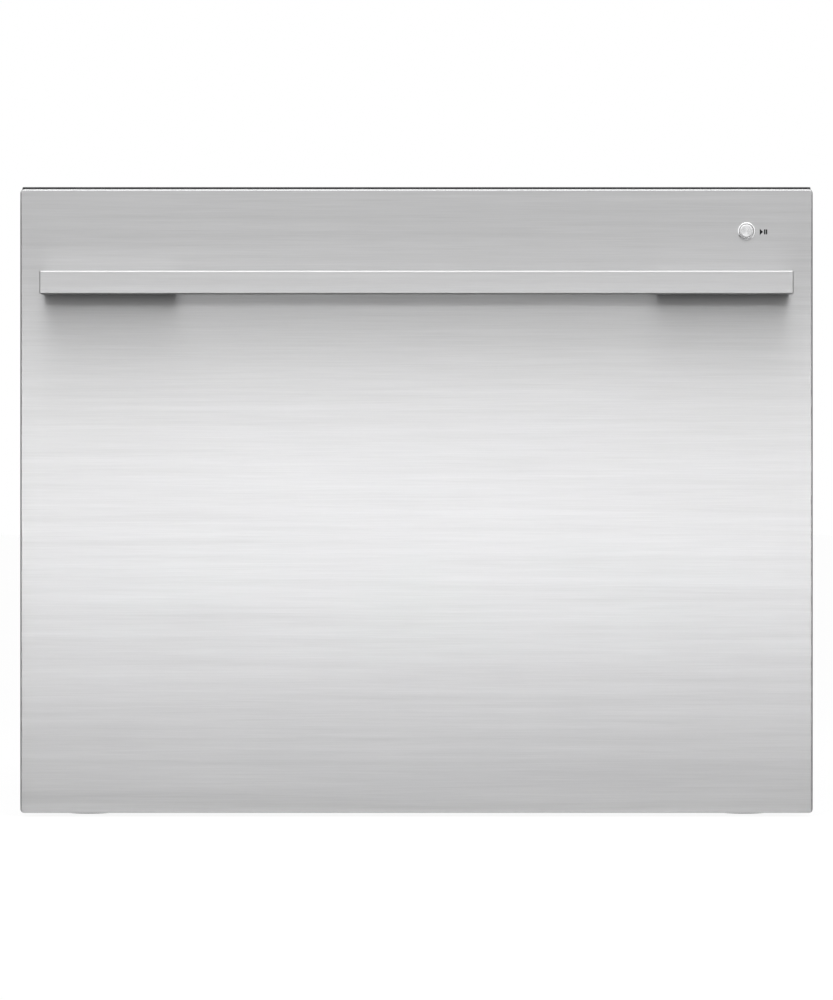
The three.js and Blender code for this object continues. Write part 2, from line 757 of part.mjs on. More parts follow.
function detergentDispenser() {
  const left = -dispenserWidth / 2;
  const housing = block([left, 0, 0], [-left, dispenserDepth, dispenserHeight]);
  const cupX = left + cupLeft;
  const cup = block(
    [cupX, dispenserDepth - cupDepth, cupBottom],
    [cupX + cupWidth, dispenserDepth + 1, cupBottom + cupHeight],
  );
  const hinge = [dispenserDepth + running + doorThickness / 2, cupBottom - doorMargin];
  const earReach = hinge[0] + hingePin + 1.4;
  const ears = [cupX - doorMargin - running - earWidth, cupX + cupWidth + doorMargin + running].map((x) =>
    block([x, dispenserDepth - 1, hinge[1] - earHalf], [x + earWidth, earReach, hinge[1] + earHalf]),
  );
  const pinHole = bar("x", hingePin + running, cupX - 12, cupX + cupWidth + 12, hinge, 12);
  const capBore = bar("y", capStem + running, dispenserDepth - 12, dispenserDepth + 1, capPlace(), 20);
  const solid = cut(housing, [cup, capBore]).add(join(ears).subtract(pinHole));
  return mesh("detergent_dispenser", solid, whitePlastic, [dispenserX, tubFront + fit, dispenserBottom]);
}

// Middle of the rinse-aid cap from the housing's lower middle, halfway between the door's ear and the edge.
function capPlace() {
  const edge = dispenserWidth / 2;
  const ear = cupLeft + cupWidth + doorMargin + running + earWidth - edge;
  return [(ear + edge) / 2, cupBottom + cupHeight / 2];
}

function dispenserDoor() {
  const halfWidth = cupWidth / 2 + doorMargin;
  const half = doorThickness / 2;
  const leaf = block([-halfWidth, -half, 0], [halfWidth, half, cupHeight + 2 * doorMargin]);
  const pin = bar("x", hingePin, -halfWidth - 3, halfWidth + 3, [0, 0], 12);
  const catchRib = block([-10, half, cupHeight - 2], [10, half + 4, cupHeight + 2]);
  return mesh("dispenser_door", join([leaf, pin, catchRib]), tubPlastic, [
    dispenserX - dispenserWidth / 2 + cupLeft + cupWidth / 2,
    tubFront + fit + dispenserDepth + running + doorThickness / 2,
    dispenserBottom + cupBottom - doorMargin,
  ]);
}

function rinseAidCap() {
  const [x, z] = capPlace();
  const stem = bar("y", capStem, -11, running, [0, 0], 20);
  const knob = bar("y", capRadius, running, running + capHeight - 3, [0, 0], 24);
  const grip = block([-capRadius + 3, running, -2.5], [capRadius - 3, running + capHeight, 2.5]);
  return mesh("rinse_aid_cap", join([stem, knob, grip]), bluePlastic, [
    dispenserX + x,
    tubFront + fit + dispenserDepth,
    dispenserBottom + z,
  ]);
}

// ------------------------------------------------------------------ the rack

// A rounded block round the middle line of the rack's wires, grown or shrunk by a margin.
const rackBlock = (margin, low, high) =>
  roundedBlock(
    [-rackHalfWidth - margin, rackFront - margin, low],
    [rackHalfWidth + margin, rackBack + margin, high],
    rackCorner + margin,
    3,
  );

const longBarX = (i) => share(-rackHalfWidth + rackCorner, rackHalfWidth - rackCorner, floorBarsX, i);
const crossBarY = (k) => share(rackFront + rackCorner, rackBack - rackCorner, floorBarsY, k);
const sidePostY = (i) => share(rackFront + rackCorner, rackBack - rackCorner, sidePostCount, i);

function rackFloor() {
  const w = wire / 2;
  const cells = range(floorBarsX + 1).flatMap((i) =>
    range(floorBarsY + 1).map((k) => {
      const low = [longBarX(i - 1) + w, crossBarY(k - 1) + w, rackBottom - 1];
      return block(low, [longBarX(i) - w, crossBarY(k) - w, rackFloorTop + 1]);
    }),
  );
  const holes = join(cells).intersect(rackBlock(-w, rackBottom - 1, rackFloorTop + 1));
  return rackBlock(w, rackBottom, rackFloorTop).subtract(holes);
}

// The floor grid with its feet and tine clips, the hoop all round and the posts at the front and back.
function rackBasket() {
  const w = wire / 2;
  const hoop = rackBlock(w, rackLowRailZ - w, rackLowRailZ + w).subtract(rackBlock(-w, 0, frontTop));
  const posts = [rackFront, rackBack].flatMap((y) =>
    range(floorBarsX).map((i) => {
      const x = longBarX(i);
      return block([x - w, y - w, rackBottom], [x + w, y + w, rackLowRailZ]);
    }),
  );
  const legs = sides.flatMap(({ sign }) =>
    [rackFront + legSize / 2, rackBack - legSize / 2].map((y) => {
      const x = sign * (rackHalfWidth - rackCorner + legSize / 2);
      const low = [x - legSize / 2, y - legSize / 2, tubFloor + running];
      return block(low, [x + legSize / 2, y + legSize / 2, rackFloorTop]);
    }),
  );
  const clips = tineRows.flatMap((row) => clipPlaces().map((x) => axleClip(x, crossBarY(row))));
  const gates = sides.map(({ sign }) => handed(rackSideRoomFor(fit), sign));
  const frame = cut(join([rackFloor(), hoop, ...posts, ...legs, ...clips]), gates);
  return mesh("rack_basket", frame, coatedWire);
}

// The straight length of the hoop that a rack side takes the place of, with a clearance round it.
const rackSideRoomFor = (clearance) =>
  block(
    [rackHalfWidth - wire, rackFront + rackCorner - wire / 2 - clearance, rackFloorTop],
    [rackHalfWidth + wire, rackBack - rackCorner + wire / 2 + clearance, rackRailZ],
  );

// One flat side of the rack: posts on the floor grid carry the rail that the cup shelf turns on.
function rackSide({ side, sign }) {
  const w = wire / 2;
  const x = rackHalfWidth;
  const front = rackFront + rackCorner - w;
  const back = rackBack - rackCorner + w;
  const posts = range(sidePostCount).map((i) => {
    const y = sidePostY(i);
    return block([x - w, y - w, rackFloorTop + fit], [x + w, y + w, rackRailZ]);
  });
  const lowRail = block([x - w, front, rackLowRailZ - w], [x + w, back, rackLowRailZ + w]);
  const shelfRail = bar("y", w, front, back, [x, rackRailZ], 12);
  return mesh(`rack_side_${side}`, handed(join([lowRail, shelfRail, ...posts]), sign), coatedWire);
}

// The clips stand on the rack's floor bars, between tines, and hold the tine rows' axles.
const tineMiddle = tineStart + ((tineCount - 1) * tinePitch) / 2;
const clipPlaces = () => [-1, 1].map((place) => tineMiddle + place * tinePitch * (tineCount / 2 - 1));

function axleClip(x, y) {
  const reach = tineRadius + running + clipWall;
  const half = clipWidth / 2;
  const body = block([x - half, y - reach, rackBottom + wire / 2], [x + half, y + reach, axleZ + reach - 1]);
  const bore = bar("x", tineRadius + running, x - clipWidth, x + clipWidth, [y, axleZ], 12);
  return body.subtract(bore);
}

function tineRow(row, i) {
  const end = tineMiddle + (tinePitch * (tineCount - 1)) / 2;
  const start = tineMiddle - (tinePitch * (tineCount - 1)) / 2;
  const axle = bar("x", tineRadius, start - 4, end + 4, [0, 0], 8);
  const tines = range(tineCount).map((n) =>
    bar("z", tineRadius, 0, tineHeight, [share(start, end, tineCount, n), 0], 6),
  );
  return mesh(`tine_row_${["front", "middle", "back"][i]}`, join([axle, ...tines]), coatedWire, [
    0,
    crossBarY(row),
    axleZ,
  ]);
}

function cupShelf({ side, sign }) {
  const inner = -shelfDepth;
  const middleY = (rackFront + rackBack) / 2;
  const half = shelfLength / 2;
  const outerEdge = -knuckleRadius + 1;
  const sheetSolid = block([inner, -half, -shelfThickness / 2], [outerEdge, half, shelfThickness / 2]);
  const barGap = 7;
  const pitch = (shelfLength - 2 * shelfFrame + barGap) / shelfBars;
  const slots = range(shelfBars).map((i) => {
    const y = -half + shelfFrame + i * pitch;
    const low = [inner + shelfFrame, y, -shelfThickness];
    return block(low, [outerEdge - shelfFrame, y + pitch - barGap, shelfThickness]);
  });
  const lip = block([inner, -half, 0], [inner + 3, half, shelfThickness / 2 + 6]);
  const knuckleReach = ((sidePostY(1) - sidePostY(0)) * knuckleSpan) / 2;
  const knuckles = [-knuckleReach, knuckleReach].map((y) =>
    bar("y", knuckleRadius, y - knuckleLength / 2, y + knuckleLength / 2, [0, 0], 16),
  );
  const bore = bar("y", wire / 2 + running, -half - 1, half + 1, [0, 0], 12);
  const solid = join([cut(sheetSolid, slots), lip, ...knuckles]).subtract(bore);
  const place = [sign * rackHalfWidth, middleY, rackRailZ];
  return mesh(`cup_shelf_${side}`, handed(solid, sign), coatedWire, place);
}

function cutleryBasket() {
  const top = basketHeight;
  const outside = block([0, 0, 0], [basketWidth, basketLength, top]);
  const cell = (basketLength - basketWall) / basketCells;
  const hollows = range(basketCells).map((i) =>
    block([basketWall, basketWall + i * cell, basketWall], [basketWidth - basketWall, (i + 1) * cell, top + 1]),
  );
  return mesh("cutlery_basket", cut(outside, hollows), tubPlastic, [
    rackHalfWidth - basketInset - basketWidth,
    rackFront + basketSetback,
    rackFloorTop + fit,
  ]);
}

const rack = assembly(
  rackBasket(),
  sides.map(rackSide),
  tineRows.map(tineRow),
  sides.map(cupShelf),
  cutleryBasket(),
);

// ------------------------------------------------------------------ rails

function channel(outerX, innerX, low, high, wall, webOutside, from, to) {
  const whole = block([innerX, from, low], [outerX, to, high]);
  const hollow = webOutside
    ? block([innerX - 1, from - 1, low + wall], [outerX - wall, to + 1, high - wall])
    : block([innerX + wall, from - 1, low + wall], [outerX + 1, to + 1, high - wall]);
  return whole.subtract(hollow);
}

const memberStep = railWall + slideGap;

function outerRail({ side, sign }) {
  const solid = channel(
    railOutside,
    railInside + 2,
    railBottom,
    railTop,
    railWall,
    true,
    railStart,
    railStart + railLength,
  );
  return mesh(`outer_rail_${side}`, handed(solid, sign), railSteel);
}

function middleRail({ side, sign }) {
  const solid = channel(
    railOutside - memberStep,
    railInside + 2,
    railBottom + memberStep,
    railTop - memberStep,
    memberWall,
    true,
    railStart,
    railStart + railLength,
  );
  return mesh(`middle_rail_${side}`, handed(solid, sign), railSteel);
}

function innerRail({ side, sign }) {
  const step = memberStep + memberWall + slideGap;
  const solid = channel(
    railOutside - step,
    railInside,
    railBottom + step,
    railTop - step,
    memberWall,
    false,
    innerRailStart,
    innerRailStart + innerRailLength,
  );
  return mesh(`inner_rail_${side}`, handed(solid, sign), railSteel);
}

const rails = assembly(sides.map(outerRail), sides.map(middleRail), sides.map(innerRail));

// ------------------------------------------------------------------ chassis

const footPlaces = [
  { name: "front_left", x: -1, y: chassisFront + footInsetY },
  { name: "front_right", x: 1, y: chassisFront + footInsetY },
  { name: "rear_left", x: -1, y: chassisBack - footInsetY },
  { name: "rear_right", x: 1, y: chassisBack - footInsetY },
].map((foot) => ({ ...foot, x: foot.x * (chassisHalf - footInsetX) }));

function baseTray() {
  const half = chassisInside - fit;
  const back = chassisBack;
  const plate = block([-half, chassisFront, footHeight], [half, back, trayTop]);
  const frontLip = block([-half, chassisFront, footHeight], [half, chassisFront + sheet, footHeight + trayLip]);
  const rearLip = block(
    [-half, rearPanelFront - fit - sheet, footHeight],
    [half, rearPanelFront - fit, footHeight + trayLip],
  );
  const sideLips = sides.map(({ sign }) =>
    handed(block([half - sheet, chassisFront, footHeight], [half, back, footHeight + trayLip]), sign),
  );
  const bossTop = footHeight + footBossHeight;
  const bosses = footPlaces.map(({ x, y }) => bar("z", footBossRadius, footHeight, bossTop, [x, y], 20));
  const boreRadius = studRadius + running;
  const bores = footPlaces.map(({ x, y }) => bar("z", boreRadius, footHeight - 1, bossTop + 1, [x, y], 16));
  const pin = bar("z", linkPin, footHeight, pinTop, [linkPivotX, linkPivotY], 16);
  const pinFoot = bar("z", linkPin + 4, footHeight, armLow - running, [linkPivotX, linkPivotY], 16);
  const solid = join([plate, frontLip, rearLip, ...sideLips, ...bosses, pin, pinFoot]);
  return mesh("base_tray", cut(solid, bores), galvanised);
}

function levellingFoot({ name, x, y }) {
  const pad = bar("z", padRadius, 0, padHeight * 0.6, [0, 0], 24);
  const dome = bar("z", padRadius * 0.72, 0, padHeight, [0, 0], 24);
  const nut = bar("z", nutRadius, padHeight, footHeight - fit, [0, 0], 6);
  const stud = bar("z", studRadius, 0, footHeight + studTop, [0, 0], 16);
  return mesh(`foot_${name}`, join([pad, dome, nut, stud]), darkPlastic, [x, y, 0]);
}

function sidePanel({ side, sign }) {
  const wall = block([chassisInside, chassisFront, footHeight], [chassisHalf, chassisBack, chassisTop]);
  const top = chassisTop - sheet - fit;
  const topFlange = block([chassisHalf - flange, chassisFront, top - sheet], [chassisHalf, chassisBack, top]);
  const frontFlange = block(
    [chassisHalf - flange, chassisFront, footHeight],
    [chassisHalf, chassisFront + sheet, chassisTop - sheet],
  );
  const railNotch = block(
    [chassisHalf - flange - 1, chassisFront - 1, footHeight - 1],
    [chassisInside, chassisFront + 3 * sheet, railTop + 6],
  );
  const capEdge = block(
    [chassisHalf - flange - 1, chassisFront - 1, top],
    [chassisInside, chassisBack + 1, chassisTop + 1],
  );
  const flangeFront = rearPanelFront + sheet + fit;
  const rearFlange = block(
    [chassisHalf - flange, flangeFront, footHeight + trayLip + fit],
    [chassisHalf, flangeFront + sheet, top],
  );
  const solid = cut(join([wall, topFlange, frontFlange, rearFlange]), [railNotch, capEdge]);
  return mesh(`side_panel_${side}`, handed(solid, sign), galvanised);
}

function topPanel() {
  const half = chassisInside - fit;
  const under = chassisTop - sheet;
  const plate = block([-half, chassisFront + fit, under], [half, chassisBack, chassisTop]);
  const lipInset = flange + 1;
  const frontLip = block(
    [-half + lipInset, chassisFront + fit, chassisTop - flange],
    [half - lipInset, chassisFront + fit + sheet, chassisTop],
  );
  return mesh("top_panel", plate.add(frontLip), galvanised);
}

function rearPanel() {
  const half = chassisInside - fit;
  const plate = block(
    [-half, rearPanelFront, trayTop + fit],
    [half, rearPanelFront + sheet, chassisTop - sheet - fit],
  );
  const sideSteps = sides.map(({ sign }) =>
    handed(
      block(
        [chassisHalf - flange - fit, rearPanelFront - 1, trayTop],
        [chassisHalf, rearPanelFront + 2 * sheet, trayTop + trayLip + fit],
      ),
      sign,
    ),
  );
  const flangeSlots = sides.map(({ sign }) =>
    handed(
      block(
        [chassisHalf - flange - fit, rearPanelFront - 1, chassisTop - 3 * sheet - 2 * fit],
        [chassisHalf, rearPanelFront + 2 * sheet, chassisTop],
      ),
      sign,
    ),
  );
  const holes = [
    bar("y", inletRadius + running, rearPanelFront - 1, chassisBack, [inletX, inletZ], 24),
    bar("y", drainRadius + running, rearPanelFront - 1, chassisBack, [drainX, drainZ], 20),
    bar("y", glandRadius + running, rearPanelFront - 1, chassisBack, [mainsX, mainsZ], 20),
  ];
  return mesh("rear_panel", cut(plate, [...sideSteps, ...flangeSlots, ...holes]), galvanised);
}

// The seal on the chassis' front edge that the closed drawer front meets: two uprights and a head.
function frontTrim() {
  const front = frontDepth + trimGap;
  const bottom = railTop + trimLift;
  const whole = block([-chassisHalf, front, bottom], [chassisHalf, chassisFront - fit, chassisTop]);
  const opening = block(
    [-chassisHalf + trimWidth, front - 1, bottom - 1],
    [chassisHalf - trimWidth, chassisFront + 1, chassisTop - trimWidth],
  );
  return mesh("front_trim_seal", whole.subtract(opening), blackRubber);
}

function inletValve() {
  const inside = rearPanelFront - fit;
  const half = inletRadius + portFlange;
  const body = block(
    [-valveWidth / 2, inside - portBody, -valveHeight / 2],
    [valveWidth / 2, inside - portPlate, valveHeight / 2],
  );
  const plate = block([-half, inside - portPlate, -half], [half, inside, half]);
  const coil = bar("z", coilRadius, 0, coilTop, [0, inside - portBody + coilRadius], 18);
  const thread = bar("y", inletRadius, inside - 1, chassisBack);
  const bore = bar("y", inletRadius - 3.5, inside + 1, chassisBack + 1, [0, 0], 20);
  const solid = join([body, plate, coil, thread]).subtract(bore);
  return mesh("inlet_valve", solid, whitePlastic, [inletX, 0, inletZ]);
}

function drainOutlet() {
  const inside = rearPanelFront - fit;
  const plate = bar("y", drainRadius + portFlange, inside - portPlate, inside);
  const spigot = bar("y", drainRadius, inside - spigotLength, chassisBack, [0, 0], 20);
  const bore = bar("y", drainRadius - 2, inside - spigotLength - 1, chassisBack + 1, [0, 0], 20);
  return mesh("drain_outlet", plate.add(spigot).subtract(bore), darkPlastic, [drainX, 0, drainZ]);
}

function mainsInlet() {
  const inside = rearPanelFront - fit;
  const half = mainsBoxWidth / 2;
  const box = block([-half, inside - portBody, -mainsBoxBottom], [half, inside, mainsBoxTop]);
  const gland = bar("y", glandRadius, inside - 1, chassisBack - 1, [0, 0], 20);
  const bore = bar("y", glandRadius / 2, inside + 1, chassisBack, [0, 0], 14);
  return mesh("mains_inlet", box.add(gland).subtract(bore), darkPlastic, [mainsX, 0, mainsZ]);
}

const chassis = assembly(
  baseTray(),
  footPlaces.map(levellingFoot),
  sides.map(sidePanel),
  topPanel(),
  rearPanel(),
  frontTrim(),
  inletValve(),
  drainOutlet(),
  mainsInlet(),
);

// ------------------------------------------------------------------ lid

const earInside = lidHalf - 2;
const earOutside = chassisInside - 3;
const screwX = (lidHalf + earOutside) / 2;

function lidPanel() {
  const outside = roundedBlock([-lidHalf, lidFront, 0], [lidHalf, lidBack, lidHeight], 12);
  const stepX = (2 * lidHalf - lidRib) / lidPocketsX;
  const stepY = (lidBack - lidFront - lidRib) / lidPocketsY;
  const pockets = range(lidPocketsX).flatMap((i) =>
    range(lidPocketsY).map((k) =>
      block(
        [-lidHalf + lidRib + i * stepX, lidFront + lidRib + k * stepY, lidPlate],
        [-lidHalf + (i + 1) * stepX, lidFront + (k + 1) * stepY, lidHeight + 1],
      ),
    ),
  );
  const ears = sides.map(({ sign }) =>
    handed(
      block(
        [earInside, tubMiddleY - earLength / 2, 0],
        [earOutside, tubMiddleY + earLength / 2, lidHeight],
      ),
      sign,
    ),
  );
  const nuts = sides.map(({ sign }) =>
    bar("z", screwRadius + running, -1, lidHeight + 1, [sign * screwX, tubMiddleY], 16),
  );
  const solid = cut(join([cut(outside, pockets), ...ears]), nuts);
  return mesh("lid_panel", solid, tubPlastic, [0, 0, lidBottom]);
}

function lidSeal() {
  const inset = (rimWidth - sealWidth) / 2;
  const outer = roundedBlock(
    [-rimHalf + inset, lidFront + inset, 0],
    [rimHalf - inset, lidBack - inset, sealHeight - fit],
    tubCorner + rimWidth - inset,
  );
  const inner = roundedBlock(
    [-rimHalf + inset + sealWidth, lidFront + inset + sealWidth, -1],
    [rimHalf - inset - sealWidth, lidBack - inset - sealWidth, sealHeight],
    tubCorner + rimWidth - inset - sealWidth,
  );
  return mesh("lid_seal", outer.subtract(inner), greyRubber, [0, 0, rimTop + running]);
}

function lidActuator({ side, sign }) {
  const inner = rimHalf + 2;
  const bottom = actuatorTop - actuatorHeight;
  const outer = chassisInside - fit;
  const radius = (outer - inner) / 2;
  const gearbox = block([inner, -actuatorWidth / 2, bottom], [outer, actuatorWidth / 2, actuatorTop]);
  const motorPlace = [inner + radius, radius - actuatorWidth / 2];
  const motor = bar("z", radius, bottom - actuatorMotor, bottom + 1, motorPlace, 18);
  const seat = bar("z", screwRadius + running, actuatorTop - actuatorBore, actuatorTop + 1, [screwX, 0], 16);
  const solid = gearbox.add(motor).subtract(seat);
  return mesh(`lid_actuator_${side}`, handed(solid, sign), darkPlastic, [0, tubMiddleY, 0]);
}

function lidScrew({ side, sign }) {
  const bottom = actuatorTop - actuatorBore + running;
  const top = lidBottom + lidHeight + lidLift + lidRoom / 2;
  const shank = bar("z", screwRadius, bottom, top, [0, 0], 16);
  const collarBottom = actuatorTop + running;
  const collarTop = collarBottom + screwCollarHeight;
  const collar = bar("z", screwRadius + screwCollar, collarBottom, collarTop, [0, 0], 16);
  return mesh(`lid_screw_${side}`, shank.add(collar), railSteel, [sign * screwX, tubMiddleY, 0]);
}

const lid = assembly(lidPanel(), lidSeal(), sides.map(lidActuator), sides.map(lidScrew));

// ------------------------------------------------------------------ the folding link that carries the hoses

// Closed drawer: each arm makes this angle with the Y axis. The two meet at the elbow.
const linkAngle = Math.acos((linkPivotY - linkTubY) / 2 / linkLength);

function linkArm(name, bottom, y, turn, pinBore) {
  const outline = new THREE.Shape();
  const r = linkWidth / 2;
  outline.absarc(0, 0, r, Math.PI / 2, 1.5 * Math.PI, false);
  outline.lineTo(linkLength, -r);
  outline.absarc(linkLength, 0, r, -Math.PI / 2, Math.PI / 2, false);
  const body = solidOf(
    new THREE.ExtrudeGeometry(outline, { depth: linkThickness, bevelEnabled: false, curveSegments: 8 }),
  );
  const trough = block(
    [r + 6, -linkChannel / 2, linkThickness - linkChannelDepth],
    [linkLength - r - 2, linkChannel / 2, linkThickness + 1],
  );
  const solid = cut(body, [trough, pinBore]);
  const made = mesh(name, solid, darkPlastic, [linkPivotX, y, bottom]);
  made.rotation.z = turn;
  return made;
}

const throughBore = bar("z", linkPin + running, -1, linkThickness + 1, [0, 0], 16);
const hoseLink = assembly(
  linkArm("hose_link_rear", armLow, linkPivotY, -Math.PI / 2 - linkAngle, throughBore),
  linkArm("hose_link_front", armHigh, linkTubY, Math.PI / 2 + linkAngle, throughBore),
);

// ------------------------------------------------------------------ the whole drawer

const tubAssembly = assembly(
  tub(),
  sides.map(drawerBracket),
  pumpMotor(),
  pumpRotor(),
  heaterRing(),
  filterPlate(),
  drainFilter(),
  sprayArm(),
  drainPump(),
  electronicsModule(),
  detergentDispenser(),
  dispenserDoor(),
  rinseAidCap(),
);

// The origin is on the floor, below the middle of everything from the handle's face to the chassis' back.
const dishwasherDrawer = assembly(drawerFront, tubAssembly, rack, rails, chassis, lid, hoseLink);
dishwasherDrawer.position.y = -(handleFace + chassisBack) / 2;

export default dishwasherDrawer;
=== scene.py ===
"""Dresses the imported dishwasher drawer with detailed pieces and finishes, on a plain studio stage.

Metres. X runs to the right, Y from the front to the back and Z up from the floor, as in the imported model.
"""
from functools import cache, partial
from math import atan2, cos, pi, radians, sin, sqrt

import bmesh
import bpy
from mathutils import Matrix, Vector, geometry


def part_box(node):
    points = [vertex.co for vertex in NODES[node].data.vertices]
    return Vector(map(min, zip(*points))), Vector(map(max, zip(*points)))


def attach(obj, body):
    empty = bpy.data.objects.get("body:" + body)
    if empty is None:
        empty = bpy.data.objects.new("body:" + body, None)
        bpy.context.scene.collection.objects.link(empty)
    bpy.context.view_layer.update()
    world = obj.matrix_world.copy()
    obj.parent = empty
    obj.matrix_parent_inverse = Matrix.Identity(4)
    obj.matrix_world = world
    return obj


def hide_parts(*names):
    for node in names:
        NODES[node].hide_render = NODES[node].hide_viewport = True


bl_info = {
    "name": "Dishwasher drawer",
    "version": (1, 0, 0),
    "blender": (4, 5, 0),
    "location": "View3D > Sidebar > Dishwasher drawer",
    "description": "Dresses a packed dishwasher drawer with detailed pieces, finishes and a studio stage",
    "category": "Object",
}

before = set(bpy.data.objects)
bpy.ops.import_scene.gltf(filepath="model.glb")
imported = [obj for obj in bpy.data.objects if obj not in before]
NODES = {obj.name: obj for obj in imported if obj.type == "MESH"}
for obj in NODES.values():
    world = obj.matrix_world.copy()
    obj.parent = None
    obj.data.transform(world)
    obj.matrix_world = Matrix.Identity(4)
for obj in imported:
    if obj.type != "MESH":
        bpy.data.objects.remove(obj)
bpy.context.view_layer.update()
SIDES = (("left", -1), ("right", 1))
WAY = {-1: "left", 1: "right"}


class Box:
    """The bounds of a CAD node, their middle and their size."""

    def __init__(self, name):
        low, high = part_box(name)
        self.x0, self.y0, self.z0 = low
        self.x1, self.y1, self.z1 = high
        self.x, self.y, self.z = (low + high) / 2
        self.wide, self.deep, self.tall = high - low

    def side(self, sign):
        """Where its right side is, or its left one for a negative sign."""
        return self.x1 if sign > 0 else self.x0


# ---- outlines, as lists of (u, v)


def rounded(half_u, half_v, radius, steps=4, u=0.0, v=0.0):
    """A rounded rectangle about (u, v), anticlockwise."""
    points = []
    for quarter, (side_u, side_v) in enumerate(((1, 1), (-1, 1), (-1, -1), (1, -1))):
        for step in range(steps + 1):
            angle = (quarter + step / steps) * pi / 2
            points.append((
                u + (side_u * (half_u - radius) + radius * cos(angle)),
                v + (side_v * (half_v - radius) + radius * sin(angle)),
            ))
    return points


def around(radius, count, u=0.0, v=0.0, first=0.0):
    """Points at equal steps round a circle, the first a share of a step on."""
    turns = [2 * pi * (i + first) / count for i in range(count)]
    return [(u + radius * cos(turn), v + radius * sin(turn)) for turn in turns]


def circle(radius, count=32, u=0.0, v=0.0):
    return around(radius, count, u, v, 0.5)


def rectangle(u0, u1, v0, v1):
    return [(u0, v0), (u1, v0), (u1, v1), (u0, v1)]


def corners(u, v, half_u, half_v):
    return [(u + a * half_u, v + b * half_v) for a in (-1, 1) for b in (-1, 1)]


# ---- closed forms, as (vertices, faces)

# The order in which (u, v, w) go into (x, y, z), where w runs along the axis.
AXES = {"x": (1, 2, 0), "y": (0, 2, 1), "z": (0, 1, 2)}


def at(axis, u, v, w):
    point = Vector((0, 0, 0))
    for index, value in zip(AXES[axis], (u, v, w)):
        point[index] = value
    return point


def skin(axis, layers, loop=False, caps=True):
    """A form through outlines of as many points each, given as (outline, w)."""
    count = len(layers[0][0])
    vertices = [at(axis, a, b, w) for outline, w in layers for a, b in outline]
    faces = []
    for i in range(len(layers) if loop else len(layers) - 1):
        a, b = i * count, (i + 1) % len(layers) * count
        faces += [(a + k, a + (k + 1) % count, b + (k + 1) % count, b + k) for k in range(count)]
    if caps and not loop:
        faces += [tuple(range(count)), tuple(range(len(vertices) - count, len(vertices)))]
    return vertices, faces


def stack(axis, layers, u=0.0, v=0.0, steps=4, loop=False):
    """A form or a closed band through rounded rectangles, each (half u, half v, corner radius, w)."""
    return skin(axis, [(rounded(*sizes, steps, u, v), w) for *sizes, w in layers], loop)


def plate(axis, outline, w0, w1, holes=()):
    """A flat plate between w0 and w1 with holes through it."""
    loops = [outline, *holes]
    flat = [point for loop in loops for point in loop]
    triangles = geometry.tessellate_polygon([[Vector((a, b, 0)) for a, b in loop] for loop in loops])
    total = len(flat)
    vertices = [at(axis, a, b, w) for w in (w0, w1) for a, b in flat]
    faces = [tuple(t) for t in triangles] + [tuple(i + total for i in reversed(t)) for t in triangles]
    start = 0
    for loop in loops:
        count = len(loop)
        for k in range(count):
            a, b = start + k, start + (k + 1) % count
            faces.append((a, b, b + total, a + total))
        start += count
    return vertices, faces


def slots(axis, outline, w0, w1, first, count, step):
    """The same hole repeated in a line, as forms to cut with."""
    places = [(first[0] + i * step[0], first[1] + i * step[1]) for i in range(count)]
    return [plate(axis, [(a + u, b + v) for a, b in outline], w0, w1) for u, v in places]


def block(lowest, highest):
    (x0, y0, z0), (x1, y1, z1) = lowest, highest
    return plate("z", rectangle(x0, x1, y0, y1), z0, z1)


def lathe(axis, profile, u=0.0, v=0.0, count=32, base=0.0):
    """A turned form, its (radius, w above base) from end to end of the axis or a closed loop off it."""
    layers = [(circle(radius, count, u, v), base + w) for radius, w in profile]
    if profile[0][0] > 0:
        return skin(axis, layers, loop=True)
    vertices, faces = skin(axis, layers[1:-1], caps=False)
    for (_, end), ring_start in ((layers[0], 0), (layers[-1], len(vertices) - count)):
        tip = len(vertices)
        vertices.append(at(axis, u, v, end))
        faces += [(ring_start + k, ring_start + (k + 1) % count, tip) for k in range(count)]
    return vertices, faces


def rod(axis, radius, w0, w1, u=0.0, v=0.0, count=24, edge=0.0):
    """A round rod along an axis, with its ends eased by edge."""
    ends = [(radius - edge, w0), (radius, w0 + edge), (radius, w1 - edge), (radius - edge, w1)]
    return lathe(axis, [(0, w0), *(ends if edge else [(radius, w0), (radius, w1)]), (0, w1)], u, v, count)


def tube(axis, outer, inner, w0, w1, u=0.0, v=0.0, count=32):
    return lathe(axis, [(outer, w0), (outer, w1), (inner, w1), (inner, w0)], u, v, count)


def soft_slab(axis, half_u, half_v, w0, w1, edge, corner, u=0.0, v=0.0, back_edge=None, steps=4):
    """A slab across an axis with a rounded edge round its face at w0, and the same or another at w1."""
    back = edge if back_edge is None else back_edge
    way = 1 if w1 > w0 else -1
    sharpest = 1e-5
    near, far = range(steps + 1), range(steps, -1, -1) if back else [steps]
    layers = []
    for end, inwards, radius, turns in ((w0, way, edge, near), (w1, -way, back, far)):
        for step in turns:
            angle = step / steps * pi / 2
            inset = radius * (1 - sin(angle))
            w = end + inwards * radius * (1 - cos(angle))
            layers.append((half_u - inset, half_v - inset, max(corner - inset, sharpest), w))
    return stack(axis, layers, u, v)


def moved(form, offset=(0, 0, 0), turn=0.0, axis="Z"):
    """A form turned about an axis through the origin and then moved."""
    matrix = Matrix.Translation(offset) @ Matrix.Rotation(turn, 4, axis)
    return [matrix @ Vector(point) for point in form[0]], form[1]


def mirrored(form, sign):
    return [Vector((sign * x, y, z)) for x, y, z in form[0]], form[1]


# ---- meshes


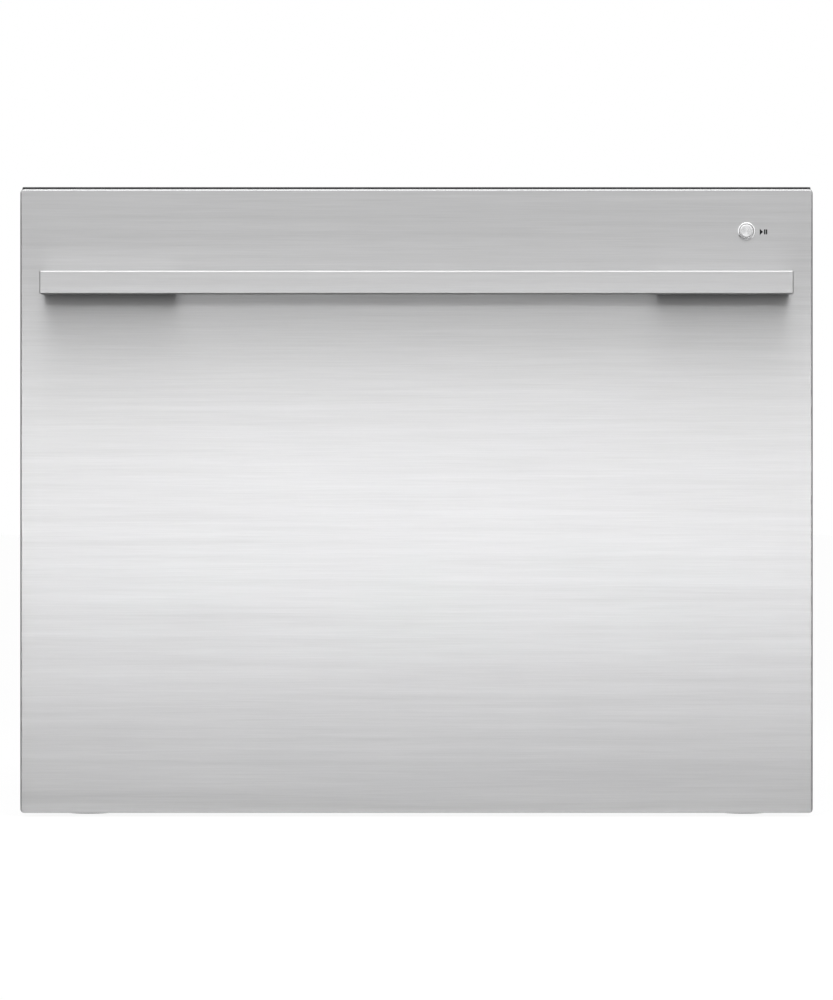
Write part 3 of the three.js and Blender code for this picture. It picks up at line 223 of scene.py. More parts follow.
def mesh_of(forms):
    """One mesh from a closed form or a list of them, with its faces outwards."""
    mesh = bpy.data.meshes.new("form")
    work = bmesh.new()
    for vertices, faces in forms if isinstance(forms, list) else [forms]:
        made = [work.verts.new(point) for point in vertices]
        for face in faces:
            work.faces.new([made[i] for i in face])
    bmesh.ops.recalc_face_normals(work, faces=work.faces)
    work.to_mesh(mesh)
    work.free()
    return mesh


def placed_object(name, data):
    made = bpy.data.objects.new(name, data)
    bpy.context.scene.collection.objects.link(made)
    return made


def evaluated(mesh, kind, **settings):
    """The mesh after a modifier, with nothing left live."""
    holder = placed_object("holder", mesh)
    modifier = holder.modifiers.new(kind, kind)
    for key, value in settings.items():
        if key.startswith("Socket_"):
            modifier[key] = value
        else:
            setattr(modifier, key, value)
    bpy.context.view_layer.update()
    result = bpy.data.meshes.new_from_object(holder.evaluated_get(bpy.context.evaluated_depsgraph_get()))
    bpy.data.objects.remove(holder)
    return result


def eased(mesh, edge, steps=2):
    """The mesh with its hard edges rounded and its flat faces left flat."""
    if not edge:
        return mesh
    return evaluated(mesh, "BEVEL", width=edge, segments=steps, limit_method="ANGLE", angle_limit=radians(40))


def cut_by(mesh, forms):
    """The mesh with other closed forms cut away."""
    tool = placed_object("tool", mesh_of(forms))
    result = evaluated(mesh, "BOOLEAN", operation="DIFFERENCE", solver="EXACT", object=tool)
    bpy.data.objects.remove(tool)
    return result


def piece(name, body, parts, replaced=None, slot=None):
    """Makes one piece from (mesh, finish) parts, riding on a body and standing for a CAD node.

    The slot, given or taken from the first part's finish, is not used.
    """
    mesh = bpy.data.meshes.new(name)
    work = bmesh.new()
    for index, (part, look) in enumerate(parts):
        start = len(work.faces)
        work.from_mesh(part)
        work.faces.ensure_lookup_table()
        for face in work.faces[start:]:
            face.material_index = index
            face.smooth = True
        mesh.materials.append(finish(look))
    grain = work.loops.layers.uv.new("grain")
    for face in work.faces:
        steep = max(range(3), key=lambda i: abs(face.normal[i]))
        u, v = [i for i in range(3) if i != steep]
        for corner in face.loops:
            corner[grain].uv = (corner.vert.co[u], corner.vert.co[v])
    work.to_mesh(mesh)
    work.free()
    mesh.set_sharp_from_angle(angle=radians(38))
    mesh = evaluated(mesh, "WEIGHTED_NORMAL", keep_sharp=True, weight=60)
    mesh.name = name
    made = placed_object(name, mesh)
    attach(made, body)
    if replaced:
        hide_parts(replaced)
    if slot is None:
        slot = parts[0][1]


# ---- nodes


def node(tree, kind, *values, **named):
    """Adds a node: values go into its inputs in order, capitalised names are inputs, the rest are settings.

    A value is a constant, a socket or a node, which stands for its first output.
    """
    made = tree.nodes.new(kind)
    inputs = dict(enumerate(values))
    for key, value in named.items():
        if key[0].isupper():
            inputs[key.replace("_", " ")] = value
        else:
            setattr(made, key, value)
    for key, value in inputs.items():
        if isinstance(value, bpy.types.Node):
            value = value.outputs[0]
        if isinstance(value, bpy.types.NodeSocket):
            tree.links.new(value, made.inputs[key])
        else:
            made.inputs[key].default_value = value
    return made


def maths(tree, operation, *values):
    return node(tree, "ShaderNodeMath", *values, operation=operation)


SOCKETS = {int: "Int", float: "Float", tuple: "Vector", type(None): "Object"}


def new_group(name, kind, inputs, outputs):
    """A node group with its inputs' kinds read from their defaults, and what its input node gives."""
    group = bpy.data.node_groups.new(name, kind)
    for label, default in inputs.items():
        socket_type = default if isinstance(default, str) else f"NodeSocket{SOCKETS[type(default)]}"
        socket = group.interface.new_socket(label.replace("_", " "), in_out="INPUT", socket_type=socket_type)
        if type(default) in (int, float, tuple):
            socket.default_value = default
    for label, socket_type in outputs:
        group.interface.new_socket(label, in_out="OUTPUT", socket_type=socket_type)
    return group, group.nodes.new("NodeGroupInput").outputs


def new_tree(name, **inputs):
    return new_group(name, "GeometryNodeTree", {
        "Geometry": "NodeSocketGeometry", **inputs, "Material": "NodeSocketMaterial",
    }, [("Geometry", "NodeSocketGeometry")])


def close_tree(tree, given, geometry_node):
    """Ends a tree in Realize Instances and Set Material."""
    real = node(tree, "GeometryNodeRealizeInstances", geometry_node)
    painted = node(tree, "GeometryNodeSetMaterial", Geometry=real, Material=given["Material"])
    node(tree, "NodeGroupOutput", painted)
    return tree


def copies_on(tree, points, instance, **named):
    return node(tree, "GeometryNodeInstanceOnPoints", Points=points, Instance=instance, **named)


def swept(tree, curve, sides, radius):
    """A round section along a curve, with closed ends."""
    section = node(tree, "GeometryNodeCurvePrimitiveCircle", Resolution=sides, Radius=radius)
    return node(tree, "GeometryNodeCurveToMesh", Curve=curve, Profile_Curve=section, Fill_Caps=True)


def scaled(tree, vector, factor):
    return node(tree, "ShaderNodeVectorMath", vector, Scale=factor, operation="SCALE")


# ---- geometry node trees

ORIGIN, UPWARDS, BACKWARDS = (0.0, 0.0, 0.0), (0.0, 0.0, 1.0), (0.0, 1.0, 0.0)


@cache
def row_tree():
    """Copies of the mesh at equal steps in a line."""
    tree, given = new_tree("Row", Count=5, Step=(0.01, 0.0, 0.0))
    line = node(tree, "GeometryNodeMeshLine", mode="OFFSET", Count=given["Count"], Offset=given["Step"])
    return close_tree(tree, given, copies_on(tree, line, given["Geometry"]))


@cache
def ring_tree():
    """Copies of the mesh turned about an axis through the origin, then moved to the centre."""
    tree, given = new_tree("Ring", Count=8, Axis=UPWARDS, Centre=ORIGIN)
    line = node(tree, "GeometryNodeMeshLine", mode="OFFSET", Count=given["Count"], Offset=ORIGIN)
    share = maths(tree, "DIVIDE", node(tree, "GeometryNodeInputIndex"), given["Count"])
    angles = scaled(tree, given["Axis"], maths(tree, "MULTIPLY", share, 2 * pi))
    copies = copies_on(tree, line, given["Geometry"], Rotation=angles)
    return close_tree(tree, given, node(tree, "GeometryNodeTransform", copies, Translation=given["Centre"]))


@cache
def spots_tree():
    """A copy of another object's mesh at each vertex of the mesh."""
    tree, given = new_tree("Spots", Unit=None, Turn=ORIGIN)
    unit = node(tree, "GeometryNodeObjectInfo", Object=given["Unit"], As_Instance=False).outputs["Geometry"]
    return close_tree(tree, given, copies_on(tree, given["Geometry"], unit, Rotation=given["Turn"]))


@cache
def wire_tree():
    """A round wire along the mesh's edges, with its corners bent to a radius."""
    tree, given = new_tree("Wire", Radius=0.002, Bend=0.006, Sides=8)
    line = node(tree, "GeometryNodeMeshToCurve", given["Geometry"])
    bent = node(tree, "GeometryNodeFilletCurve", line, mode="POLY", Count=5, Radius=given["Bend"],
                Limit_Radius=True)
    return close_tree(tree, given, swept(tree, bent, given["Sides"], given["Radius"]))


@cache
def thread_tree():
    """The ridge of a screw thread about the vertical axis at the centre."""
    tree, given = new_tree("Thread", Radius=0.003, Pitch=0.0015, Turns=10.0, Depth=0.0004, Centre=ORIGIN,
                           Lean=ORIGIN)
    helix = node(tree, "GeometryNodeCurveSpiral", Resolution=14, Rotations=given["Turns"],
                 Start_Radius=given["Radius"], End_Radius=given["Radius"],
                 Height=maths(tree, "MULTIPLY", given["Pitch"], given["Turns"]))
    ridge = swept(tree, helix, 4, given["Depth"])
    leaning = node(tree, "GeometryNodeTransform", ridge, Translation=given["Centre"], Rotation=given["Lean"])
    return close_tree(tree, given, leaning)


@cache
def perforated_tree():
    """Six-sided tiles with a round hole each, between two radii about the origin and clear of a round gap."""
    tree, given = new_tree("Perforation", Pitch=0.006, Inner=0.03, Outer=0.11, Gap_Centre=ORIGIN, Gap=0.025,
                           Rows=40, Centre=ORIGIN)
    rows, calc = given["Rows"], partial(maths, tree)
    side = calc("MULTIPLY", rows, given["Pitch"])
    grid = node(tree, "GeometryNodeMeshGrid", side, side, rows, rows)
    index = node(tree, "GeometryNodeInputIndex")
    across = calc("FLOOR", calc("DIVIDE", index, rows))
    along = calc("MODULO", index, rows)
    half_step = calc("MULTIPLY", calc("MODULO", across, 2.0), 0.5)
    half_rows = calc("MULTIPLY", rows, 0.5)
    u = calc("SUBTRACT", calc("ADD", along, half_step), half_rows)
    v = calc("MULTIPLY", calc("SUBTRACT", across, half_rows), sqrt(0.75))
    spot = node(tree, "ShaderNodeCombineXYZ", u, v)
    lattice = node(tree, "GeometryNodeSetPosition", grid, Position=scaled(tree, spot, given["Pitch"]))
    position = node(tree, "GeometryNodeInputPosition")
    radius = node(tree, "ShaderNodeVectorMath", position, operation="LENGTH").outputs["Value"]
    away = node(tree, "ShaderNodeVectorMath", position, given["Gap Centre"], operation="DISTANCE")
    too_far = calc("GREATER_THAN", radius, given["Outer"])
    too_near = calc("LESS_THAN", radius, given["Inner"])
    in_gap = calc("LESS_THAN", away.outputs["Value"], given["Gap"])
    dropped = calc("MAXIMUM", calc("MAXIMUM", too_far, too_near), in_gap)
    tiles = copies_on(tree, lattice, given["Geometry"], Selection=calc("LESS_THAN", dropped, 0.5))
    return close_tree(tree, given, node(tree, "GeometryNodeTransform", tiles, Translation=given["Centre"]))


# ---- parts of a piece, as (mesh, finish)


def grown(tree, mesh, look, **values):
    """A part from a mesh and a tree, whose inputs are set by identifier before it is first evaluated."""
    values = {"Material": finish(look)} | {key.replace("_", " "): value for key, value in values.items()}
    inputs = {item.identifier: values[item.name] for item in tree.interface.items_tree
              if item.in_out == "INPUT" and item.name in values}
    return evaluated(mesh, "NODES", node_group=tree, **inputs), look


def solid(forms, look, edge=0.0, steps=2):
    return eased(mesh_of(forms), edge, steps), look


def row(forms, count, step, look, edge=0.0):
    return grown(row_tree(), eased(mesh_of(forms), edge), look, Count=count, Step=step)


def ring(forms, count, centre, look, axis=UPWARDS, edge=0.0):
    return grown(ring_tree(), eased(mesh_of(forms), edge), look, Count=count, Axis=axis, Centre=centre)


def spots(mesh, points, look, turn=ORIGIN):
    unit = placed_object("unit", mesh)
    cloud = bpy.data.meshes.new("points")
    cloud.from_pydata(points, [], [])
    made = grown(spots_tree(), cloud, look, Unit=unit, Turn=turn)
    bpy.data.objects.remove(unit)
    return made


def wires(paths, radius, bend, look, sides=8, closed=False):
    """Round wires along lists of points."""
    vertices, edges = [], []
    for points in paths:
        start = len(vertices)
        vertices += points
        edges += [(start + i, start + i + 1) for i in range(len(points) - 1)]
        if closed:
            edges.append((len(vertices) - 1, start))
    path = bpy.data.meshes.new("path")
    path.from_pydata(vertices, edges, [])
    return grown(wire_tree(), path, look, Radius=radius, Bend=bend, Sides=sides)


def thread(radius, pitch, turns, depth, centre, look, lean=ORIGIN):
    return grown(thread_tree(), bpy.data.meshes.new("none"), look, Radius=radius, Pitch=pitch, Turns=turns,
                 Depth=depth, Centre=centre, Lean=lean)


def from_cad(name, look, edge=0.0004, steps=2, cuts=()):
    """A copy of a CAD node's mesh, its loose triangles joined, forms cut away and its hard edges rounded."""
    mesh = bpy.data.meshes.new(name)
    work = bmesh.new()
    work.from_mesh(NODES[name].data)
    bmesh.ops.remove_doubles(work, verts=work.verts, dist=1e-6)
    bmesh.ops.dissolve_limit(work, angle_limit=radians(0.6), verts=work.verts, edges=work.edges)
    work.to_mesh(mesh)
    work.free()
    mesh.materials.clear()
    if cuts:
        mesh = cut_by(mesh, cuts)
    return eased(mesh, edge, steps), look


# Turns that point a form made along Z in each direction.
TURNS = {
    "up": ORIGIN, "down": (pi, 0, 0), "back": (-pi / 2, 0, 0), "front": (pi / 2, 0, 0),
    "right": (0, pi / 2, 0), "left": (0, -pi / 2, 0),
}


def screws(points, way, radius, look="rail_steel"):
    """Pan-head screws with a cross recess, seated at points and facing one way."""
    head = lathe("z", [
        (0, -0.0002), (radius, -0.0002), (radius, radius * 0.14),
        (radius * 0.86, radius * 0.33), (radius * 0.55, radius * 0.44), (0, radius * 0.47),
    ], count=12)
    arm, half = radius * 0.5, radius * 0.13
    cross = [
        (half, half), (half, arm), (-half, arm), (-half, half), (-arm, half), (-arm, -half),
        (-half, -half), (-half, -arm), (half, -arm), (half, -half), (arm, -half), (arm, half),
    ]
    recessed = cut_by(mesh_of(head), plate("z", cross, radius * 0.15, radius))
    return spots(recessed, points, look, TURNS[way])


# ---- finishes


def group_output(group, **values):
    node(group, "NodeGroupOutput", **values)
    return group


def object_place(tree):
    return node(tree, "ShaderNodeTexCoord").outputs["Object"]


TONE_AND_HEIGHT = [("Tone", "NodeSocketFloat"), ("Height", "NodeSocketFloat")]
# How closely scratches follow one another along each axis, where they run along X.
ALONG_X = (3.0, 1400.0, 1400.0)


@cache
def brush_group():
    """Long fine scratches along one direction: a tone from 0 to 1 and a height."""
    group, given = new_group("Brush lines", "ShaderNodeTree", {"Stretch": ALONG_X}, TONE_AND_HEIGHT)
    place = object_place(group)
    fine_place = node(group, "ShaderNodeMapping", place, Scale=given["Stretch"])
    fine = node(group, "ShaderNodeTexNoise", Vector=fine_place, Scale=1.0, Detail=3.0, Roughness=0.65)
    broad_place = node(group, "ShaderNodeMapping", place, Scale=scaled(group, given["Stretch"], 0.13))
    broad = node(group, "ShaderNodeTexNoise", Vector=broad_place, Scale=1.0, Detail=2.0)
    both = maths(group, "ADD", fine.outputs["Fac"], broad.outputs["Fac"])
    return group_output(group, Tone=maths(group, "MULTIPLY", both, 0.5), Height=fine.outputs["Fac"])


@cache
def grain_group():
    """Moulded or rolled grain: fine bumps with a slow change of tone under them."""
    group, given = new_group("Moulded grain", "ShaderNodeTree", {"Scale": 900.0}, TONE_AND_HEIGHT)
    place, scale = object_place(group), given["Scale"]
    fine = node(group, "ShaderNodeTexNoise", Vector=place, Scale=scale, Detail=3.0, Roughness=0.6)
    cells = node(group, "ShaderNodeTexVoronoi", Vector=place, Scale=scale)
    slow = node(group, "ShaderNodeTexNoise", Vector=place, Scale=7.0, Detail=4.0)
    height = maths(group, "MULTIPLY", cells.outputs["Distance"], fine.outputs["Fac"])
    return group_output(group, Tone=slow.outputs["Fac"], Height=height)


@cache
def wear_group():
    """How far an edge stands out, from 0 on flats to 1 on convex edges, broken up as rubbing leaves it."""
    group, given = new_group("Edge wear", "ShaderNodeTree", {"Spread": 0.06}, [("Mask", "NodeSocketFloat")])
    pointed = node(group, "ShaderNodeNewGeometry").outputs["Pointiness"]
    top = maths(group, "ADD", given["Spread"], 0.5)
    edge = node(group, "ShaderNodeMapRange", Value=pointed, From_Min=0.505, From_Max=top)
    broken = node(group, "ShaderNodeTexNoise", Vector=object_place(group), Scale=130.0, Detail=3.0)
    return group_output(group, Mask=maths(group, "MULTIPLY", edge, broken.outputs["Fac"]))


def new_material(name):
    material = bpy.data.materials.new(name)
    material.use_nodes = True
    material.node_tree.nodes.clear()
    return material, material.node_tree


def tinted(colour, factor):
    return tuple(min(1.0, channel * factor) for channel in colour)


def mixed(tree, amount, first, second):
    """A colour between two, by a 0 to 1 value."""
    return node(tree, "ShaderNodeMix", data_type="RGBA", Factor=amount, A=first, B=second).outputs["Result"]


def varied(tree, amount, colour, contrast):
    """A colour made darker and lighter by a 0 to 1 value."""
    return mixed(tree, amount, (*tinted(colour, 1 - contrast), 1), (*tinted(colour, 1 + contrast), 1))


def ranged(tree, value, to_low, to_high, from_low=0.3, from_high=0.7):
    return node(tree, "ShaderNodeMapRange", Value=value, From_Min=from_low, From_Max=from_high, To_Min=to_low,
                To_Max=to_high)


def shaded(material, tree, group, bump, depth, **inputs):
    """Ends a material in its shader, with bumps of a group's height."""
    bumps = node(tree, "ShaderNodeBump", Height=group.outputs["Height"], Strength=bump, Distance=depth)
    shader = node(tree, "ShaderNodeBsdfPrincipled", Normal=bumps, **inputs)
    node(tree, "ShaderNodeOutputMaterial", Surface=shader)
    return material


def brushed(name, colour, roughness, anisotropy, rotation=0.25, contrast=0.05, stretch=ALONG_X, radial=None,
            bump=0.05):
    """Brushed or spun metal, its scratches along X unless stretched another way."""
    material, tree = new_material(name)
    lines = node(tree, "ShaderNodeGroup", node_tree=brush_group(), Stretch=stretch)
    tone = lines.outputs["Tone"]
    way = {"direction_type": "UV_MAP", "uv_map": "grain"}
    if radial:
        way = {"direction_type": "RADIAL", "axis": radial}
    return shaded(
        material, tree, lines, bump, 0.00005,
        Base_Color=varied(tree, ranged(tree, tone, 0, 1), colour, contrast),
        Roughness=ranged(tree, tone, roughness - 0.03, roughness + 0.03), Metallic=1.0,
        Anisotropic=anisotropy, Anisotropic_Rotation=rotation, Tangent=node(tree, "ShaderNodeTangent", **way),
    )


def worn_surface(name, colour, roughness, slack, contrast, worn, bump, depth, grain_scale=900.0, spangle=None,
                 **inputs):
    """A grained surface with a slow or crystalline change of tone and with its edges rubbed lighter."""
    material, tree = new_material(name)
    grain = node(tree, "ShaderNodeGroup", node_tree=grain_group(), Scale=grain_scale)
    wear = node(tree, "ShaderNodeGroup", node_tree=wear_group())
    if spangle:
        crystals = node(tree, "ShaderNodeTexVoronoi", Vector=object_place(tree), Scale=spangle)
        grey = node(tree, "ShaderNodeRGBToBW", crystals.outputs["Color"])
        tone = ranged(tree, grey, 0, 1, 0.2, 0.8)
    else:
        tone = ranged(tree, grain.outputs["Tone"], 0, 1)
    smoothest, roughest = roughness - slack, roughness + slack + 0.01
    return shaded(
        material, tree, grain, bump, depth,
        Base_Color=mixed(tree, wear, varied(tree, tone, colour, contrast), (*tinted(colour, worn), 1)),
        Roughness=ranged(tree, grain.outputs["Tone"], smoothest, roughest), **inputs,
    )


def rolled(name, colour, roughness, spangle=60.0, contrast=0.08):
    """Zinc-coated or plain rolled sheet, with its spangle and rubbed edges."""
    return worn_surface(name, colour, roughness, slack=0.07, contrast=contrast, worn=1.25, bump=0.06,
                        depth=0.0002, spangle=spangle, Metallic=1.0)


def moulded(name, colour, roughness=0.45, grain_scale=1100.0, bump=0.12, contrast=0.06, worn=1.3,
            specular=0.5, coat=0.0):
    """Moulded plastic, rubber or felt."""
    return worn_surface(name, colour, roughness, slack=0.05, contrast=contrast, worn=worn, bump=bump,
                        depth=0.0003, grain_scale=grain_scale, Specular_IOR_Level=specular, Coat_Weight=coat)


@cache
def finish(name):
    """A finish by name, made the first time it is asked for."""
    own = bpy.context.scene.drawer_finishes
    # Each is the kind, a colour, how far it is lightened or darkened and then the kind's own settings in
    # order.
    maker, colour, factor, *settings = {
        "brushed_steel": (brushed, own.steel, 1, 0.36, 0.8, 0.25, 0.085, (20.0, 1250.0, 1250.0)),
        "handle_steel": (brushed, own.steel, 1, 0.32, 0.7, 0.25, 0.08, (30.0, 1250.0, 1250.0)),
        # The stand-offs' steel is the front's steel darkened to about a third, as painted shade: the face
        # reflects their dark undersides as the shadow below the handle's ends.
        "stand_steel": (brushed, own.steel, 0.35, 0.4, 0.6),
        "spun_steel": (brushed, own.steel, 1.25, 0.22, 0.85, 0.0, 0.05, (900.0, 900.0, 900.0), "Y", 0.02),
        "polished_steel": (rolled, own.steel, 1.45, 0.14, 240.0, 0.02),
        "zinc_sheet": (rolled, own.zinc, 1, 0.6),
        "rail_steel": (rolled, own.zinc, 1.1, 0.28, 320.0, 0.04),
        "copper": (rolled, (0.72, 0.33, 0.17), 1, 0.3, 500.0),
        "dark_plastic": (moulded, own.dark_plastic, 1),
        "tub_plastic": (moulded, own.tub_plastic, 1, 0.34, 420.0, 0.05, 0.03, 1.1),
        "white_plastic": (moulded, own.white_plastic, 1, 0.4, 700.0, 0.08, 0.03, 1.05),
        "blue_plastic": (moulded, own.accent, 1, 0.36, 700.0, 0.08, 0.05, 1.2),
        "coated_wire": (moulded, own.wire, 1, 0.38, 260.0, 0.16, 0.07, 1.15, 0.5, 0.15),
        "black_rubber": (moulded, own.rubber, 1, 0.72, 1500.0, 0.25, 0.12, 1.6, 0.35),
        "grey_rubber": (moulded, own.wire, 0.72, 0.66, 1300.0, 0.2, 0.08, 1.2, 0.35),
        "felt": (moulded, (0.028, 0.027, 0.026), 1, 0.9, 350.0, 0.8, 0.3, 1.5, 0.2),
        "mark": (moulded, (0.008, 0.008, 0.009), 1, 0.75, 2500.0, 0.05, 0.1, 1.2, 0.15),
    }[name]
    return maker(name, tinted(colour, factor), *settings)


# ---- sizes and colours a user would change


def colour_value(name, description, *default):
    return bpy.props.FloatVectorProperty(
        name=name, description=description, default=default, subtype="COLOR", min=0, max=1)


def amount_value(name, description, default, least=0.0, unit="NONE"):
    return bpy.props.FloatProperty(name=name, description=description, default=default, unit=unit, min=least)


class DrawerFinishes(bpy.types.PropertyGroup):
    """Colours of the drawer's materials."""

    steel: colour_value("Steel", "Brushed steel of the front and handle", 0.55, 0.55, 0.554)
    zinc: colour_value("Zinc", "Zinc-coated sheet of the chassis", 0.42, 0.43, 0.44)
    dark_plastic: colour_value("Dark plastic", "Top cap, pumps, housings and feet", 0.035, 0.036, 0.038)
    tub_plastic: colour_value("Tub", "Moulded wash tub, lid and cutlery basket", 0.5, 0.52, 0.53)
    white_plastic: colour_value("White plastic", "Spray arm, dispenser and inlet valve", 0.76, 0.77, 0.76)
    wire: colour_value("Coated wire", "Vinyl coating of the racks", 0.24, 0.26, 0.27)
    rubber: colour_value("Rubber", "Seals and hoses", 0.02, 0.02, 0.021)
    accent: colour_value("Accent", "Parts made to be turned by hand inside the tub", 0.05, 0.12, 0.24)


class FrontSizes(bpy.types.PropertyGroup):
    """Small sizes of the steel front."""

    sheet: amount_value("Sheet", "Thickness of the front's steel", 0.001, 0.0004, "LENGTH")
    edge: amount_value("Folded edge", "Radius folded round the face", 0.0012, 0.0005, "LENGTH")
    corner: amount_value("Corner", "Radius of the face's corners", 0.0028, 0.001, "LENGTH")
    handle_edge: amount_value("Handle edge", "Radius along the handle's edges", 0.0009, 0.0002, "LENGTH")
    mark_height: amount_value("Mark height", "Height of the start mark's triangle", 0.005, 0.001, "LENGTH")


class StageSizes(bpy.types.PropertyGroup):
    """Camera distance and light levels."""

    distance: amount_value("Camera distance", "From the lens to the steel face", 5.0, 0.5, "LENGTH")
    picture_height: amount_value(
        "Picture height", "Height that the picture takes in at the steel face", 0.7557, 0.1, "LENGTH")
    strip: amount_value("Strip lamp", "Power of the long gridded lamp aimed at the face's middle", 0.22,
                        unit="POWER")
    key: amount_value("Key lamp", "Power of the wide lamp far in front of the drawer", 7.6, unit="POWER")
    high: amount_value("High lamp", "Power of the lamp in front of and above the drawer", 6.5, unit="POWER")
    top: amount_value("Top lamp", "Power of the lamp above the front", 5.5, unit="POWER")
    low_card: amount_value("Low card", "Brightness of the board that the steel reflects from below", 0.16)
    fill: amount_value("Fill", "Strength of the world on matt surfaces", 0.6)


# ---- the drawer front


def front_panel(sizes):
    """The folded steel pan, open behind, with the start button's hole through its face."""
    box, bezel, sheet = Box("front_skin"), Box("button_ring"), sizes.sheet
    face, left, right = box.y0, box.x0 + sheet, box.x1 - sheet
    half_u, half_v = (box.x1 - box.x0) / 2, (box.z1 - box.z0) / 2
    outside = soft_slab("y", half_u, half_v, face, box.y1, sizes.edge, sizes.corner, box.x, box.z,
                        back_edge=0)
    hollow = block((left, face + sheet, box.z0 + sheet), (right, box.y1 + 0.01, box.z1 - sheet))
    pan = cut_by(mesh_of(outside), hollow)
    pan = cut_by(pan, [
        block((left, face + 0.006, Box("panel_top_cap").z0), (right, box.y1 + 0.01, box.z1 + 0.01)),
        rod("y", bezel.wide / 2 - 0.0004, face - 0.01, face + 0.005, bezel.x, bezel.z, 40),
    ])
    piece("front_panel", "drawer", [(pan, "brushed_steel")], "front_skin")


def top_cap():
    """The dark strip along the front's upper edge, with its hollow block between the folds."""
    box, steel = Box("panel_top_cap"), Box("front_skin")
    head = soft_slab("z", box.wide / 2 - 0.0004, 0.009, steel.z1 + 0.0001, box.z1, 0.0007, 0.002,
                     v=steel.y1 - 0.0093)
    front = steel.y0 + 0.0063
    wall = 0.0022
    walls = [block((box.x0, y, box.z0), (box.x1, y + wall, steel.z1 + 0.0005))
             for y in (front, box.y1 - wall)]
    rib = block((box.x0, front + 0.001, box.z0 + 0.002), (box.x0 + wall, box.y1 - 0.001, steel.z1))
    piece("front_top_cap", "drawer", [
        solid(head, "dark_plastic"), solid(walls, "dark_plastic", 0.0003),
        row(rib, 12, ((box.wide - wall) / 11, 0, 0), "dark_plastic"),
    ], "panel_top_cap")


def handle(sizes):
    """The flat bar and its two stand-offs, whose steel is darkened as painted shade so that the face below
    them reflects dark.
    """
    edge = sizes.handle_edge
    for name, made, look, *edges in (
        ("handle_grip", "handle_bar", "handle_steel", edge, edge * 1.2),
        # The stand-offs take a darkened copy of the steel, painted shade that the face reflects as the shadow
        # under them.
        ("handle_stand_left", "handle_mount_left", "stand_steel", 0.0002, 0.0008),
        ("handle_stand_right", "handle_mount_right", "stand_steel", 0.0002, 0.0008),
    ):
        box = Box(made)
        form = soft_slab("y", box.wide / 2, box.tall / 2, box.y0, box.y1, *edges, box.x, box.z)
        piece(name, "drawer", [solid(form, look)], made, "brushed_steel")


def start_control(sizes):
    """The bright ring, the spun button in it and the start mark beside them."""
    face, box, button = Box("front_skin").y0, Box("button_ring"), Box("start_button")
    x, z, outer, bore = box.x, box.z, box.wide / 2, 0.0055
    front, back = box.y0, box.y1
    bezel = [
        (bore, back), (bore, front + 0.0004), (bore + 0.0003, front),
        (outer - 0.0006, front), (outer - 0.00018, front + 0.00018), (outer, front + 0.0006),
        (outer, face - 0.00005), (outer - 0.0006, face), (outer - 0.0006, back),
    ]
    piece("button_bezel", "drawer", [solid(lathe("y", bezel, x, z, 64), "polished_steel")], "button_ring")

    radius, collar, top = 0.0052, button.wide / 2, button.y0
    shoulder = button.y1 - 0.0014
    cap = [
        (0, top + 0.00003), (0.0012, top + 0.000028), (0.0026, top + 0.000022),
        (0.0039, top + 0.000008), (0.0045, top), (0.0049, top + 0.00008), (radius, top + 0.0003),
        (radius, shoulder), (collar, shoulder), (collar, button.y1), (0, button.y1),
    ]
    piece("button_cap", "start_button", [solid(lathe("y", cap, x, z, 96), "spun_steel")], "start_button",
          "polished_steel")

    height, left, middle = sizes.mark_height, x + 0.01, z - 0.0005
    triangle = [(left, middle - height / 2), (left + 0.0024, middle), (left, middle + height / 2)]
    bars = [rectangle(left + start, left + start + 0.00105, middle - 0.38 * height, middle + 0.38 * height)
            for start in (0.0032, 0.0046)]
    proud = 0.00006
    marks = [plate("y", outline, face - proud, face + proud) for outline in (triangle, *bars)]
    piece("start_mark", "drawer", [solid(marks, "mark")], slot="")


class FRONT_OT_build(bpy.types.Operator):
    """Make the steel front, its top cap, the handle and the start button"""

    bl_idname = "drawer.front"
    bl_label = "Front"

    def execute(self, context):
        sizes = context.scene.drawer_front
        front_panel(sizes)
        top_cap()
        handle(sizes)
        start_control(sizes)
        return {"FINISHED"}


# ---- behind the front's steel


def damping_pad():
    """Felt damping pad pressed in a square waffle."""
    name, inset = "sound_pad", 0.0015
    box = Box(name)
    x0, y0, z0, x1, y1, z1 = box.x0, box.y0, box.z0, box.x1, box.y1, box.z1
    core = block((x0, y0 + inset, z0), (x1, y1 - inset, z1))
    upright = block((x0 + 0.02, y0, z0 + 0.01), (x0 + 0.028, y1, z1 - 0.01))
    level = block((x0 + 0.01, y0, z0 + 0.02), (x1 - 0.01, y1, z0 + 0.028))
    piece("damping_pad", "drawer", [
        solid(core, "felt", 0.002, 3), row(upright, 14, ((box.wide - 0.048) / 13, 0, 0), "felt", 0.001),
        row(level, 10, (0, 0, (box.tall - 0.048) / 9), "felt", 0.001),
    ], name)


def front_carrier():
    """The plate behind the front: pressed ribs, cable slot and the screws round it."""
    name, metal = "front_inner_plate", "zinc_sheet"
    box = Box(name)
    back, middle = box.y1, (box.z1 + box.z0) / 2
    cable_slot = plate("y", rounded(0.022, 0.006, 0.0059, 5, 0.205, box.z1 - 0.016), box.y0 - 0.01,
                       back + 0.01)
    bead = stack("y", [(0.2, 0.005, 0.0049, back - 0.0013), (0.1985, 0.0035, 0.0034, back - 0.0001)],
                 0, middle - 0.04)
    half, seat = box.wide / 2 - 0.012, back - 0.0017
    places = [(x, seat, z) for x in (-half, half) for z in (box.z0 + 0.02, middle, box.z1 - 0.015)]
    places += [(x, seat, z) for x in (-0.13, 0.13) for z in (box.z0 + 0.012, box.z1 - 0.012)]
    piece("front_carrier", "drawer", [
        from_cad(name, metal, 0.0005, 2, [cable_slot]), row(bead, 4, (0, 0, 0.04), metal, 0.0003),
        screws(places, "back", 0.0032),
    ], name)


